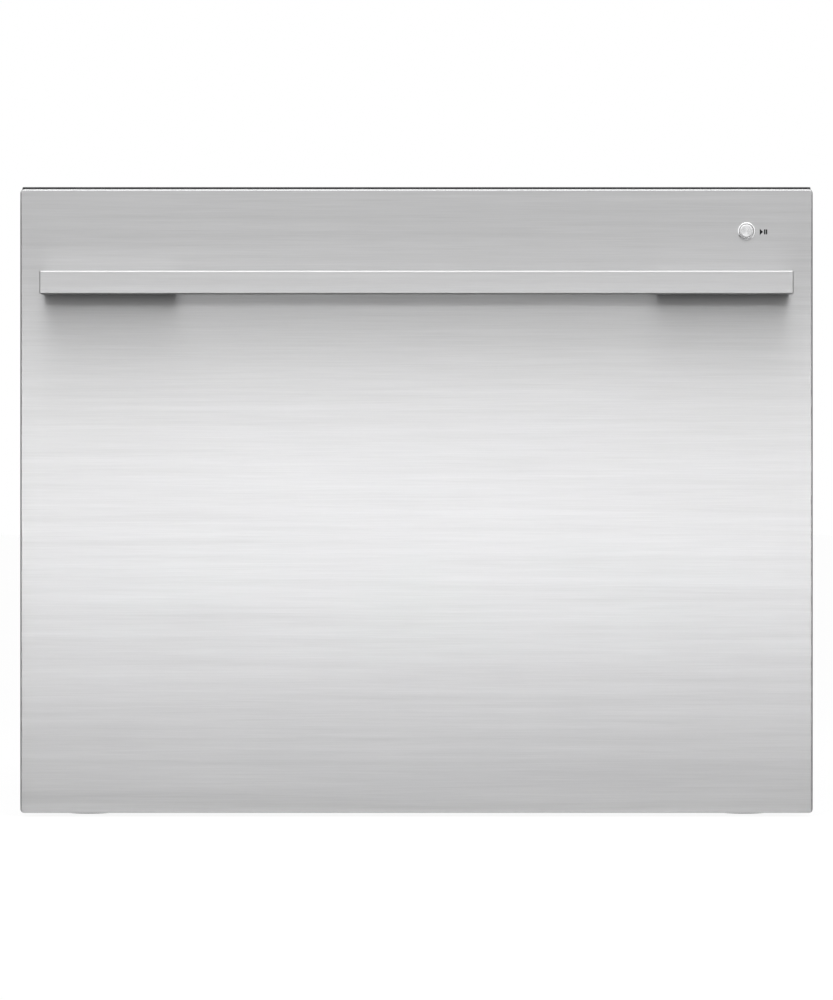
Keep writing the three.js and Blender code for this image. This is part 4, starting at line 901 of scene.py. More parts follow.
def switch_module():
    """The control board's housing behind the start button, with ribs, plugs and the button's seat."""
    name, plastic = "control_module", "dark_plastic"
    box, button = Box(name), Box("start_button")
    x0, y0, z0 = box.x0, box.y0, box.z0
    body = soft_slab("y", box.wide / 2, box.tall / 2, y0 + 0.001, box.y1, 0.001, 0.003, box.x, box.z)
    rib = block((x0 + 0.006, y0, z0 + 0.004), (x0 + 0.0074, y0 + 0.002, box.z1 - 0.004))
    plug = block((x0 - 0.004, y0 + 0.002, z0 + 0.006), (x0 + 0.001, box.y1 - 0.001, z0 + 0.013))
    seat = tube("y", 0.0085, 0.007, y0, y0 + 0.002, button.x, button.z)
    piece("switch_module", "drawer", [
        solid(body, plastic), row(rib, 6, (0.006, 0, 0), plastic, 0.0002), solid(seat, plastic),
        row(plug, 2, (0, 0, 0.01), "white_plastic", 0.0004),
    ], name)


class CARRIER_OT_build(bpy.types.Operator):
    """Make the damping pad, the carrier plate and the switch module behind the steel"""

    bl_idname = "drawer.carrier"
    bl_label = "Front carrier"

    def execute(self, context):
        damping_pad()
        front_carrier()
        switch_module()
        return {"FINISHED"}


# ---- the tub


def wash_tub():
    """The moulded tub with stiffening ribs outside its walls and under its rim."""
    lid_box, plastic, edge = Box("lid_panel"), "tub_plastic", 0.0005
    bottom, rim = Box("spray_arm").z0 - 0.009, Box("tub").z1 - 0.0135
    half_x, reach = 0.273, 0.0052
    front, back = lid_box.y0 + 0.0072, lid_box.y1 - 0.0072
    parts = [from_cad("tub", plastic, 0.0011, 3)]
    upright = block((half_x - edge, front + 0.04, bottom), (half_x + reach, front + 0.0424, rim))
    level = block((half_x - edge, front + 0.032, bottom + 0.14),
                  (half_x + reach * 0.8, back - 0.032, bottom + 0.1424))
    for sign in (-1, 1):
        parts.append(row(mirrored(upright, sign), 11, (0, (back - front - 0.08) / 10, 0), plastic, edge))
        parts.append(row(mirrored(level, sign), 2, (0, 0, 0.09), plastic, edge))
    for y0, y1, top in ((back - edge, back + reach, rim), (front - reach, front + edge, rim - 0.03)):
        parts.append(row(block((-0.24, y0, bottom), (-0.2376, y1, top)), 11, (0.048, 0, 0), plastic, edge))
    piece("wash_tub", "drawer", parts, "tub")


def tub_vent():
    """A slotted vent cap on the tub's front wall beside the dispenser."""
    box = Box("detergent_dispenser")
    wall, beyond, x, z = box.y0 - 0.0001, 0.4, -0.11, box.z
    cap = lathe("y", [
        (0, -0.0002), (0.03, -0.0002), (0.03, 0.0035), (0.0285, 0.005), (0.012, 0.0062), (0, 0.0064),
    ], x, z, 48, wall)
    slit = plate("y", rounded(0.0065, 0.0011, 0.001, 3, 0.019, 0), wall + 0.0022, beyond)
    openings = [moved(moved(slit, turn=2 * pi * i / 18, axis="Y"), (x, 0, z)) for i in range(18)]
    piece("tub_vent", "drawer", [
        (cut_by(mesh_of(cap), openings), "white_plastic"),
        solid(rod("y", 0.0075, wall + 0.004, wall + 0.0085, x, z, 32, 0.0008), "tub_plastic"),
    ])


class TUB_OT_build(bpy.types.Operator):
    """Make the wash tub and its vent"""

    bl_idname = "drawer.tub"
    bl_label = "Tub"

    def execute(self, context):
        wash_tub()
        tub_vent()
        return {"FINISHED"}


# ---- the sump and the pumps


def filter_screen():
    """Perforated stainless plate with a rolled rim, a collar at the hub and one round the drain filter."""
    name, steel = "filter_plate", "polished_steel"
    box, gap = Box(name), Box("drain_filter")
    x, y, z, top, outer = box.x, box.y, box.z0, box.z1, box.wide / 2
    pitch, hole_radius = 0.0064, 0.0022
    tips = around(pitch / sqrt(3), 6, first=0.5)
    rim_points = []
    for (a, b), (c, d) in zip(tips, tips[1:] + tips[:1]):
        rim_points += [(a, b), ((a + c) / 2, (b + d) / 2)]
    hole = around(hole_radius, 12, first=1)
    lower, upper = z + 0.0008, z + 0.0017
    tile = skin("z", [(rim_points, lower), (rim_points, upper), (hole, upper), (hole, lower)], loop=True)
    screen = grown(perforated_tree(), mesh_of(tile), steel, Pitch=pitch, Inner=0.0275, Outer=outer - 0.0065,
                   Gap_Centre=(gap.x - x, gap.y - y, 0.0), Gap=0.0265, Rows=40, Centre=(x, y, 0.0))
    flat = top - 0.0009
    rim = [
        (outer - 0.0105, z), (outer - 0.0005, z), (outer, z + 0.0006), (outer, top - 0.0006),
        (outer - 0.0006, top), (outer - 0.0022, top), (outer - 0.003, flat), (outer - 0.0105, flat),
    ]
    hub = [(0.0222, z), (0.031, z), (0.031, flat), (0.0235, flat), (0.0228, top), (0.0222, top - 0.0006)]
    collar = [(0.0204, z), (0.03, z), (0.03, flat), (0.0212, flat), (0.0204, top - 0.0012)]
    rings = [lathe("z", rim, x, y, 96), lathe("z", hub, x, y, 64), lathe("z", collar, gap.x, gap.y, 64)]
    piece("filter_screen", "drawer", [screen, solid(rings, steel)], name)


def drain_strainer():
    """The lift-out drain filter: a barred cup under a knurled lip, with its finger bar."""
    name, blue, cup = "drain_filter", "blue_plastic", 0.02
    box, seat = Box(name), Box("filter_plate").z1 + 0.0001
    x, y, bottom, lip = box.x, box.y, box.z0, box.wide / 2
    collar = lathe("z", [
        (cup - 0.0016, -0.004), (cup, -0.004), (cup, 0), (lip - 0.0004, 0), (lip, 0.0005),
        (lip - 0.0003, 0.0017), (lip - 0.001, 0.002), (cup - 0.0016, 0.002),
    ], x, y, 64, seat)
    foot = lathe("z", [
        (0, 0), (cup - 0.0005, 0), (cup, 0.0005), (cup, 0.002), (cup - 0.0016, 0.0022), (0, 0.0016),
    ], x, y, 48, bottom)
    bar = block((cup - 0.0013, -0.0006, bottom + 0.0015), (cup - 0.0002, 0.0006, seat - 0.0035))
    hoop = tube("z", cup - 0.0003, cup - 0.0014, bottom + 0.0045, bottom + 0.0055, x, y, 48)
    grip = block((x - cup + 0.001, y - 0.0015, seat - 0.0058), (x + cup - 0.001, y + 0.0015, box.z1))
    dent = block((lip - 0.0012, -0.0009, seat + 0.0018), (lip - 0.0003, 0.0009, seat + 0.0024))
    piece("drain_strainer", name, [
        solid([collar, foot], blue), ring(bar, 36, (x, y, 0), blue), row(hoop, 3, (0, 0, 0.0025), blue),
        solid(grip, blue, 0.0007, 3), ring(dent, 30, (x, y, 0), blue),
    ], name)


def heater():
    """Round-section heating rod with its fixing clips."""
    name = "heater_ring"
    box = Box(name)
    radius = box.tall / 2
    middle_radius = box.wide / 2 - radius
    hoop = lathe("z", around(radius, 16, middle_radius, box.z), box.x, box.y, 96)
    clip = tube("y", radius + 0.0005, radius - 0.0003, -0.004, 0.004, middle_radius, box.z, 20)
    piece("heater", "drawer", [
        solid(hoop, "polished_steel"), ring(clip, 3, (box.x, box.y, 0), "zinc_sheet"),
    ], name)


def wash_arm():
    """The arm with eased edges, a ridge and raised jets along both blades and a ribbed hub."""
    name, plastic = "spray_arm", "white_plastic"
    box = Box(name)
    blade_top, hub_radius = box.z0 + 0.015, 0.017

    def on_blade(across, along, turn, height):
        x = box.x + across * cos(turn) - along * sin(turn)
        y = box.y + across * sin(turn) + along * cos(turn)
        return x, y, height

    jet = lathe("z", [
        (0, -0.001), (0.0058, -0.001), (0.0052, 0.0004), (0.0038, 0.0011),
        (0.0026, 0.0012), (0.0022, 0.0002), (0, 0.0002),
    ], count=20)
    turns, aside = (radians(68), radians(68) + pi), -0.004
    places = [on_blade(side * (0.0105 - i * 0.0014) + aside, 0.05 + i * 0.036, turn, blade_top)
              for turn in turns for i, side in enumerate((-1, 1, -1, 1, 0))]
    rib = block((0.0072, -0.0007, blade_top - 0.0005), (hub_radius - 0.001, 0.0007, box.z1 - 0.0004))
    ridges = [[on_blade(aside - along * 0.02, along, turn, blade_top - 0.0004)
               for along in (0.022, 0.08, 0.14, 0.2)] for turn in turns]
    piece("wash_arm", name, [
        from_cad(name, plastic, 0.0016, 4), spots(mesh_of(jet), places, plastic),
        ring(rib, 12, (box.x, box.y, 0), plastic), wires(ridges, 0.0011, 0.0, plastic, 10),
    ], name)


def impeller():
    """Hub, back plate and swept vanes."""
    name, plastic = "pump_rotor", "white_plastic"
    box = Box(name)
    x, y, z, top = box.x, box.y, box.z0, box.z1
    bore, hub = 0.0063, 0.011
    body = lathe("z", [
        (bore, z), (0.0395, z), (0.04, z + 0.0006), (0.0398, z + 0.0022), (0.038, z + 0.0029),
        (0.016, z + 0.0036), (hub, z + 0.008), (hub, top - 0.0008), (hub - 0.0008, top), (bore, top),
    ], x, y, 64)
    start = 0.0105
    sweep = [(start + k * 0.0045, 14 * (k * 0.0045) ** 2 - 0.001) for k in range(7)]
    vane = plate("z", sweep + [(radius, v + 0.0018) for radius, v in reversed(sweep)], z + 0.0024, z + 0.012)
    spline = block((hub - 0.0004, -0.0009, z + 0.0135), (hub - 0.00005, 0.0009, top - 0.001))
    piece("impeller", name, [
        solid(body, plastic), ring(vane, 8, (x, y, 0), plastic, edge=0.0004),
        ring(spline, 10, (x, y, 0), plastic),
    ], name)


def wash_pump():
    """The pump motor: stepped casing with cooling fins, screwed flange, plug and the centre post."""
    name, plastic = "pump_motor", "dark_plastic"
    box, rotor = Box(name), Box("pump_rotor")
    x, y, bottom, top = rotor.x, rotor.y, box.z0, rotor.z0 - 0.0034
    casing = lathe("z", [
        (0, bottom), (0.06, bottom), (0.063, bottom + 0.002),
        (0.0735, bottom + 0.006), (0.0735, top - 0.008), (0.0905, top - 0.006),
        (0.092, top - 0.0045), (0.092, top - 0.0006), (0.0914, top), (0, top),
    ], x, y, 64)
    post = lathe("z", [
        (0, top - 0.001), (0.006, top - 0.001), (0.006, box.z1 - 0.002),
        (0.0048, box.z1), (0.0034, box.z1), (0, box.z1 - 0.0004),
    ], x, y)
    fin = block((0.072, -0.0011, bottom + 0.006), (0.0778, 0.0011, top - 0.0062))
    spoke = block((0.014, -0.0012, bottom), (0.056, 0.0012, bottom + 0.003))
    plug_low = bottom + 0.006
    plug = block((x + 0.072, y - 0.014, plug_low), (x + 0.0935, y + 0.014, plug_low + 0.02))
    pin = block((x + 0.093, y - 0.009, plug_low + 0.006), (x + 0.0938, y - 0.0074, plug_low + 0.014))
    bolts = [(a, b, top - 0.0072) for a, b in circle(0.0835, 4, x, y)]
    piece("wash_pump", "drawer", [
        solid([casing, post], plastic), ring(fin, 40, (x, y, 0), plastic),
        ring(spoke, 12, (x, y, 0), plastic),
        solid(plug, plastic, 0.0008), row(pin, 5, (0, 0.0041, 0), "copper"), screws(bolts, "down", 0.0042),
    ], name)


def drain_pump_unit():
    """Drain pump: ribbed motor can on its saddle, barbed spigot, screws and its plug."""
    name, plastic, radius = "drain_pump", "dark_plastic", 0.03
    box = Box(name)
    y, z, end = box.y1 - radius, box.z0 + radius, box.x1
    fin = tube("x", radius + 0.0012, radius - 0.001, -0.0012, 0.0012, y, z, 40)
    plug = block((end - 0.0005, y - 0.008, z - 0.006), (end + 0.007, y + 0.008, z + 0.006))
    bolts = [(end, *place) for place in circle(0.022, 4, y, z)]
    barb = tube("y", 0.0098, 0.0085, 0, 0.0016, box.x - 0.022, z + 0.004, 24)
    piece("drain_pump_unit", "drawer", [
        from_cad(name, plastic, 0.0012, 3),
        row(moved(fin, (box.x - 0.031, 0, 0)), 8, (0.0052, 0, 0), plastic),
        solid(plug, "white_plastic", 0.0008), screws(bolts, "right", 0.0028),
        row(moved(barb, (0, box.y0 + 0.0015, 0)), 3, (0, 0.0042, 0), plastic),
    ], name)


def electronics_box():
    """Control electronics housing with cooling ribs, lid screws and a row of plugs."""
    name, plastic, inset = "electronics_module", "dark_plastic", 0.0015
    box = Box(name)
    x0, y0, z0, half_x, half_y = box.x0, box.y0, box.z0, box.wide / 2, box.deep / 2
    body = stack("z", [
        (half_x - 0.004, half_y - 0.004, 0.004, z0 + inset),
        (half_x - inset, half_y - inset, 0.005, z0 + 0.004),
        (half_x - inset, half_y - inset, 0.005, box.z1 - 0.009),
        (half_x, half_y, 0.005, box.z1 - 0.0085), (half_x, half_y, 0.005, box.z1),
    ], box.x, box.y)
    rib = block((x0 + 0.02, y0 + 0.012, z0), (x0 + 0.022, box.y1 - 0.012, z0 + 0.003))
    plug = block((x0 + 0.03, y0 - 0.004, z0 + 0.012), (x0 + 0.052, y0 + 0.002, z0 + 0.024))
    bolts = [(*place, z0 + 0.0022) for place in corners(box.x, box.y, half_x - 0.008, half_y - 0.008)]
    piece("electronics_box", "drawer", [
        solid(body, plastic), row(rib, 26, ((box.wide - 0.042) / 25, 0, 0), plastic, 0.0003),
        row(plug, 6, (0.032, 0, 0), "white_plastic", 0.0006), screws(bolts, "down", 0.0026),
    ], name)


class SUMP_OT_build(bpy.types.Operator):
    """Make the filter, strainer, heater, spray arm and pumps"""

    bl_idname = "drawer.sump"
    bl_label = "Sump and pumps"

    def execute(self, context):
        filter_screen()
        drain_strainer()
        heater()
        wash_arm()
        impeller()
        wash_pump()
        drain_pump_unit()
        electronics_box()
        return {"FINISHED"}


# ---- the dispenser

# From the housing's back to the face that the door shuts on.
HOUSING_DEEP = 0.022


def dispenser():
    """Detergent dispenser: framed housing with its cup, latch, level window, screws and the door's ears."""
    name, plastic = "detergent_dispenser", "white_plastic"
    box, door, cap = Box(name), Box("dispenser_door"), Box("rinse_aid_cap")
    face, half_u, half_v = box.y0 + HOUSING_DEEP, box.wide / 2, box.tall / 2
    outer, inner = [rounded(half_u - inset, half_v - inset, radius, 5, box.x, box.z)
                    for inset, radius in ((0.004, 0.004), (0.0052, 0.003))]
    groove = plate("y", outer, face - 0.0006, face + 0.004, [inner])
    latch = soft_slab("y", 0.009, 0.0038, face + 0.0028, face - 0.001, 0.0009, 0.002, door.x,
                      door.z1 + 0.005, 0)
    eye = cap.z + 0.03
    window = lathe("y", [(0, -0.001), (0.0052, -0.001), (0.0052, 0.0004), (0.0044, 0.0009), (0, 0.0012)],
                   cap.x, eye, base=face)
    rim = tube("y", 0.0064, 0.0052, face - 0.0005, face + 0.0009, cap.x, eye)
    fixings = [(u, face, v) for u, v in corners(box.x, box.z, half_u - 0.0075, half_v - 0.0075)]
    piece("dispenser", "drawer", [
        from_cad(name, plastic, 0.0012, 3, [groove]), solid(latch, "blue_plastic"), solid(window, "mark"),
        solid(rim, plastic), screws(fixings, "back", 0.0024),
    ], name)


def dispenser_lid():
    """The dispenser's door, its raised panel and the ribs across it."""
    name, plastic = "dispenser_door", "tub_plastic"
    box = Box(name)
    gap, thick = 0.0003, 0.003
    x, z, face = box.x, box.z, Box("detergent_dispenser").y0 + HOUSING_DEEP + gap + thick
    panel = soft_slab("y", 0.029, 0.024, face + 0.0008, face - 0.0005, 0.0007, 0.004, x, z, 0)
    rib = block((x - 0.024, face + 0.0006, z - 0.017), (x + 0.024, face + 0.0012, z - 0.0158))
    piece("dispenser_lid", name, [
        from_cad(name, plastic, 0.0005), solid(panel, plastic), row(rib, 5, (0, 0, 0.008), plastic, 0.0002),
    ], name)


def rinse_cap():
    """The rinse-aid cap with knurled rim and finger bar."""
    name, blue = "rinse_aid_cap", "blue_plastic"
    box = Box(name)
    knurl = rod("y", 0.0008, box.y1 - 0.0054, box.y1 - 0.0034, box.wide / 2 - 0.0002, 0, 8)
    knurls = ring(knurl, 32, (box.x, 0, box.z), blue, BACKWARDS)
    piece("rinse_cap", name, [from_cad(name, blue, 0.0006, 3), knurls], name)


class DISPENSER_OT_build(bpy.types.Operator):
    """Make the detergent dispenser, its door and the rinse-aid cap"""

    bl_idname = "drawer.dispenser"
    bl_label = "Dispenser"

    def execute(self, context):
        dispenser()
        dispenser_lid()
        rinse_cap()
        return {"FINISHED"}


# ---- the rack

WIRE = 0.0025


def rack_frame():
    """Wire basket: U-shaped floor wires, cross wires, two hoops, legs and the tine clips."""
    name, vinyl, bend = "rack_basket", "coated_wire", 0.024
    box, tines = Box(name), Box("tine_row_front")
    half_x, front, back, hoop = box.x1 - WIRE, box.y0 + WIRE, box.y1 - WIRE, box.z1 - WIRE
    floor = Box("cutlery_basket").z0 - 0.0001 - WIRE
    columns = [-half_x + bend + i * (2 * half_x - 2 * bend) / 8 for i in range(9)]
    lines = [front + bend + k * (back - front - 2 * bend) / 4 for k in range(5)]
    bows = [[(x, front, hoop), (x, front, floor), (x, back, floor), (x, back, hoop)] for x in columns]
    cross = [[(-half_x, y, floor - 0.0004), (half_x, y, floor - 0.0004)] for y in lines]
    parts = [wires(bows, WIRE * 0.86, 0.009, vinyl, 10), wires(cross, WIRE * 0.84, 0.0, vinyl, 10)]
    for z in (floor, hoop):
        loop = [(x, y, z) for x, y in rectangle(-half_x, half_x, front, back)]
        parts.append(wires([loop], WIRE, bend, vinyl, 12, closed=True))
    for sign in (-1, 1):
        for y in (front + 0.0045, back - 0.0045):
            x = sign * (half_x - bend + 0.0045)
            leg = lathe("z", [
                (0, box.z0), (0.003, box.z0), (0.0042, box.z0 + 0.001),
                (0.0042, box.z0 + 0.012), (0.0028, box.z0 + 0.015), (0.0028, floor), (0, floor),
            ], x, y, 20)
            collar = tube("z", 0.0045, 0.0028, floor - 0.004, floor - 0.001, x, y, 20)
            parts += [solid(leg, vinyl), solid(collar, vinyl)]
    axle, reach = tines.z0 + 0.002, 0.0053
    clip = plate("x", [
        (-reach, floor), (reach, floor), (reach, axle + 0.001), (reach - 0.0018, axle + reach - 0.001),
        (-reach + 0.0018, axle + reach - 0.001), (-reach, axle + 0.001),
    ], -0.004, 0.004, [circle(0.0023, 16, 0, axle)])
    places = [(tines.x + sign * 0.112, y, 0) for y in lines[1:4] for sign in (-1, 1)]
    parts.append(spots(eased(mesh_of(clip), 0.0005), places, "grey_rubber"))
    piece("rack_frame", "rack", parts, name)


def rack_wall(side, sign):
    """One flat side of the rack in round wire, with a cup at the foot of each post."""
    name, vinyl = f"rack_side_{side}", "coated_wire"
    box = Box(name)
    x, front, back, top = box.side(sign) - sign * WIRE, box.y0 + WIRE, box.y1 - WIRE, box.z1 - WIRE
    feet = [(x, front + i * (back - front) / 6, box.z0) for i in range(7)]
    posts = [[foot, (*foot[:2], top)] for foot in feet]
    rails = [[(x, box.y0, z), (x, box.y1, z)] for z in (Box("rack_basket").z1 - WIRE, top)]
    cup = lathe("z", [
        (0, 0), (WIRE, 0), (WIRE * 1.25, 0.001), (WIRE * 1.25, 0.006), (WIRE, 0.007), (0, 0.007),
    ], count=16)
    piece(f"rack_wall_{side}", "rack", [
        wires(posts, WIRE * 0.9, 0.0, vinyl, 10), wires(rails, WIRE, 0.0, vinyl, 12),
        spots(mesh_of(cup), feet, vinyl),
    ], name)


def cup_shelf(side, sign):
    """Fold-up shelf: slotted deck on two knuckles, with notches for stems in its raised lip."""
    name = f"cup_shelf_{side}"
    box = Box(name)
    inner = box.side(-sign)
    notches = slots("x", rounded(0.008, 0.005, 0.0049, 5), inner - 0.01, inner + 0.01,
                    (box.y - 0.15, box.z1 - 0.0045), 7, (0.05, 0))
    piece(f"glass_shelf_{side}", name, [from_cad(name, "coated_wire", 0.0009, 3, notches)], name)


def tine_row(place):
    """A folding row of round-tipped tines welded to their axle."""
    name, vinyl, radius = f"tine_row_{place}", "coated_wire", 0.002
    box = Box(name)
    y, axle, tip = box.y, box.z0 + radius, box.z1
    tine = lathe("z", [
        (0, axle - 0.0005), (radius * 1.25, axle), (radius * 1.3, axle + 0.0025),
        (radius * 0.98, axle + 0.006), (radius * 0.92, tip - 0.006), (radius, tip - 0.005),
        (radius, tip - 0.0016), (radius * 0.72, tip - 0.0005), (0, tip),
    ], box.x0 + 0.004, y, 12)
    cap = rod("x", radius * 1.3, -0.0014, 0.0014, y, axle, 16, 0.0004)
    caps = [moved(cap, (x, 0, 0)) for x in (box.x0 + 0.0014, box.x1 - 0.0014)]
    piece(f"tines_{place}", name, [
        row(tine, 9, ((box.wide - 0.008) / 8, 0, 0), vinyl),
        wires([[(box.x0, y, axle), (box.x1, y, axle)]], radius, 0.0, vinyl, 12), solid(caps, vinyl),
    ], name)


def cutlery_holder():
    """Moulded cutlery basket with slotted walls and floor and a rolled rim."""
    name, plastic = "cutlery_basket", "tub_plastic"
    box = Box(name)
    x0, y0, z0, top, half_x, half_y = box.x0, box.y0, box.z0, box.z1, box.wide / 2, box.deep / 2
    cell, upright = (box.deep - 0.0025) / 4, rounded(0.0026, 0.0155, 0.0025, 3)
    tiers, openings = (z0 + 0.024, z0 + 0.062), []
    for k in range(4):
        for z in tiers:
            openings += slots("x", upright, x0 - 0.01, box.x1 + 0.01, (y0 + 0.0115 + k * cell, z), 9,
                              (0.0082, 0))
    for z in tiers:
        openings += slots("y", upright, y0 - 0.01, box.y1 + 0.01, (x0 + 0.016, z), 11, (0.0094, 0))
    for k in range(4):
        openings += slots("z", rounded(0.045, 0.0024, 0.0023, 3), z0 - 0.01, z0 + 0.006,
                          (box.x, y0 + k * cell + 0.013), 8, (0, 0.0088))
    rim = stack("z", [(half_x + out, half_y + out, radius, top - down) for out, radius, down in (
        (0, 0.003, 0.004), (0.0016, 0.0045, 0.0035),
        (0.0016, 0.0045, 0.0006), (0.0008, 0.0037, 0), (-0.001, 0.003, 0),
    )], box.x, box.y, 4, loop=True)
    piece("cutlery_holder", "rack", [from_cad(name, plastic, 0.0003, 1, openings), solid(rim, plastic)], name)


class RACK_OT_build(bpy.types.Operator):
    """Make the wire rack, its folding tines and shelves and the cutlery basket"""

    bl_idname = "drawer.rack"
    bl_label = "Rack"

    def execute(self, context):
        rack_frame()
        for side, sign in SIDES:
            rack_wall(side, sign)
            cup_shelf(side, sign)
        for place in ("front", "middle", "back"):
            tine_row(place)
        cutlery_holder()
        return {"FINISHED"}


# ---- the lid and what lifts it


def lid():
    """Ribbed lid moulding with bosses in its pockets."""
    name, plastic = "lid_panel", "tub_plastic"
    box = Box(name)
    wall = 0.003
    boss = tube("z", 0.008, 0.0055, box.z0 + wall - 0.0005, box.z1 - 0.002, 0, 0, 24)
    step = (box.deep - wall) / 3
    places = [(-0.2103 + i * 0.1402, box.y0 + wall + (k + 0.5) * step, 0)
              for i in range(4) for k in range(3)]
    piece("tub_lid", "lid", [from_cad(name, plastic, 0.0008), spots(mesh_of(boss), places, plastic)], name)


def lid_gasket():
    """Soft seal under the lid: a flat foot, two lips below it and a ridge between them."""
    name, outer_corner = "lid_seal", 0.037
    box = Box(name)
    section = [
        (0.0, 0.0008), (0.0008, 0.0001), (0.0022, 0.0), (0.003, 0.001), (0.004, 0.0004),
        (0.005, 0.001), (0.0058, 0.0), (0.0072, 0.0001), (0.008, 0.0008),
        (0.008, 0.0032), (0.0074, 0.0039), (0.0006, 0.0039), (0.0, 0.0032),
    ]
    band = [(box.wide / 2 - inset, box.deep / 2 - inset, outer_corner - inset, box.z0 + height)
            for inset, height in section]
    piece("lid_gasket", "lid", [solid(stack("z", band, box.x, box.y, 8, loop=True), "grey_rubber")], name)


def lift_drive(side, sign):
    """Gearbox and motor of the lid's lift, and the lead screw with its thread."""
    name, plastic, metal = f"lid_actuator_{side}", "dark_plastic", "rail_steel"
    box = Box(name)
    inner, top, radius = box.side(-sign), box.z1, box.wide / 2
    proud = 0.0006
    rib_end = inner + proud if sign > 0 else inner
    rib = block((inner - proud, box.y0 + 0.012, top - 0.038), (rib_end, box.y0 + 0.0134, top - 0.006))
    band = tube("z", radius, radius - 0.0008, 0, 0.0016, box.x, box.y0 + radius)
    bolts = [(inner, y, z) for y in (box.y0 + 0.005, box.y1 - 0.005) for z in (top - 0.005, top - 0.039)]
    piece(f"lift_drive_{side}", "chassis", [
        from_cad(name, plastic, 0.0007), row(rib, 6, (0, 0.0072, 0), plastic),
        row(moved(band, (0, 0, box.z0 + 0.004)), 5, (0, 0, 0.006), metal), screws(bolts, WAY[-sign], 0.0022),
    ], name)

    name = f"lid_screw_{side}"
    box = Box(name)
    core, pitch, collar = 0.0025, 0.002, top + 0.0003
    start = collar + 0.0055
    shaft = rod("z", core, box.z0, box.z1, box.x, box.y, 20, 0.0006)
    flange = rod("z", box.wide / 2, collar, collar + 0.0037, box.x, box.y, 32, 0.0005)
    piece(f"lift_screw_{side}", name, [
        solid([shaft, flange], metal),
        thread(core, pitch, (box.z1 - start - 0.001) / pitch, 0.00048, (box.x, box.y, start), metal),
    ], name)


class LID_OT_build(bpy.types.Operator):
    """Make the tub's lid, its gasket and the drives that lift it"""

    bl_idname = "drawer.lid"
    bl_label = "Lid"

    def execute(self, context):
        lid()
        lid_gasket()
        for side, sign in SIDES:
            lift_drive(side, sign)
        return {"FINISHED"}


# ---- runners and brackets


def runner(member, side, sign, body):
    """One member of a telescopic runner, with punched holes, rivets at its ends and a bead on each edge."""
    name, metal = f"{member}_rail_{side}", "rail_steel"
    box = Box(name)
    through = (box.x0 - 0.002, box.x1 + 0.002)
    holes = slots("x", rounded(0.009, 0.0032, 0.0031), *through, (box.y0 + 0.05, box.z), 6, (0.08, 0))
    holes += slots("x", circle(0.0024, 16), *through, (box.y0 + 0.09, box.z), 5, (0.08, 0))
    opening = sign if member == "inner" else -sign
    web = box.side(-opening) + opening * 0.0014
    stops = [(web, y, box.z + dz) for y in (box.y0 + 0.014, box.y1 - 0.014) for dz in (-0.009, 0.009)]
    beads = [[(web, y, box.z + dz) for y in (box.y0 + 0.03, box.y1 - 0.03)] for dz in (-0.0125, 0.0125)]
    piece(f"runner_{member}_{side}", body, [
        from_cad(name, metal, cuts=holes), screws(stops, WAY[opening], 0.0022),
        wires(beads, 0.0006, 0.0, metal),
    ], name)


def bracket(side, sign):
    """Folded bracket with slotted holes and the screws that hold the tub and the front."""
    name = f"drawer_bracket_{side}"
    box = Box(name)
    leg = box.side(sign)
    holes = slots("x", rounded(0.007, 0.003, 0.0029), -0.3, 0.3, (box.y0 + 0.09, box.z0 + 0.02), 5,
                  (0.085, 0))
    tab = [(leg - sign * 0.026, box.y0 + 0.0015, box.z0 + dz) for dz in (0.02, 0.052, 0.082)]
    web = [(leg - sign * 0.0014, box.y0 + dy, box.z0 + 0.02) for dy in (0.05, 0.215, 0.385)]
    piece(f"tub_bracket_{side}", "drawer", [
        from_cad(name, "zinc_sheet", cuts=holes), screws(tab, "back", 0.003), screws(web, WAY[-sign], 0.003),
    ], name)


class RUNNERS_OT_build(bpy.types.Operator):
    """Make the telescopic runners and the brackets that carry the tub"""

    bl_idname = "drawer.runners"
    bl_label = "Runners"

    def execute(self, context):
        for side, sign in SIDES:
            runner("outer", side, sign, "chassis")
            runner("middle", side, sign, f"middle_rail_{side}")
            runner("inner", side, sign, "drawer")
            bracket(side, sign)
        return {"FINISHED"}


# ---- the hose link


# How far behind the tray's front edge the pin stands on which each arm turns.
LINK_PINS = {"rear": 0.511, "front": 0.463}


def hose_arm(part):
    """One arm of the folding link, with the two hoses in its channel and the straps over them."""
    name, plastic = f"hose_link_{part}", "dark_plastic"
    top = Box(name).z1
    pivot = Vector((0.125, Box("base_tray").y0 + LINK_PINS[part], 0))
    points = [NODES[name].matrix_world @ vertex.co for vertex in NODES[name].data.vertices]
    far = max((Vector((x, y, 0)) - pivot for x, y, _ in points), key=lambda offset: offset.length)
    way, reach = far.normalized(), far.length - 0.012
    across = Vector((-way.y, way.x, 0))

    def along(distance, height, aside=0.0):
        return pivot + way * distance + across * aside + Vector((0, 0, height))

    paths = [[along(distance, top - 0.0024, aside) for distance in (0.021, reach - 0.017)]
             for aside in (-0.0033, 0.0033)]
    strap = eased(mesh_of(block((-0.003, -0.0068, -0.0003), (0.003, 0.0068, 0.00005))), 0.0002)
    places = [along(distance, top - 0.0001) for distance in (0.06, 0.135, 0.21, 0.285)
              if distance < reach - 0.03]
    piece(f"hose_arm_{part}", name, [
        from_cad(name, plastic, 0.0005), wires(paths, 0.0023, 0.0, "grey_rubber", 12),
        spots(strap, places, plastic, (0, 0, atan2(way.y, way.x))),
    ], name)


class HOSES_OT_build(bpy.types.Operator):
    """Make the folding link and the hoses in it"""

    bl_idname = "drawer.hoses"
    bl_label = "Hose link"

    def execute(self, context):
        for part in LINK_PINS:
            hose_arm(part)
        return {"FINISHED"}


# ---- the cabinet


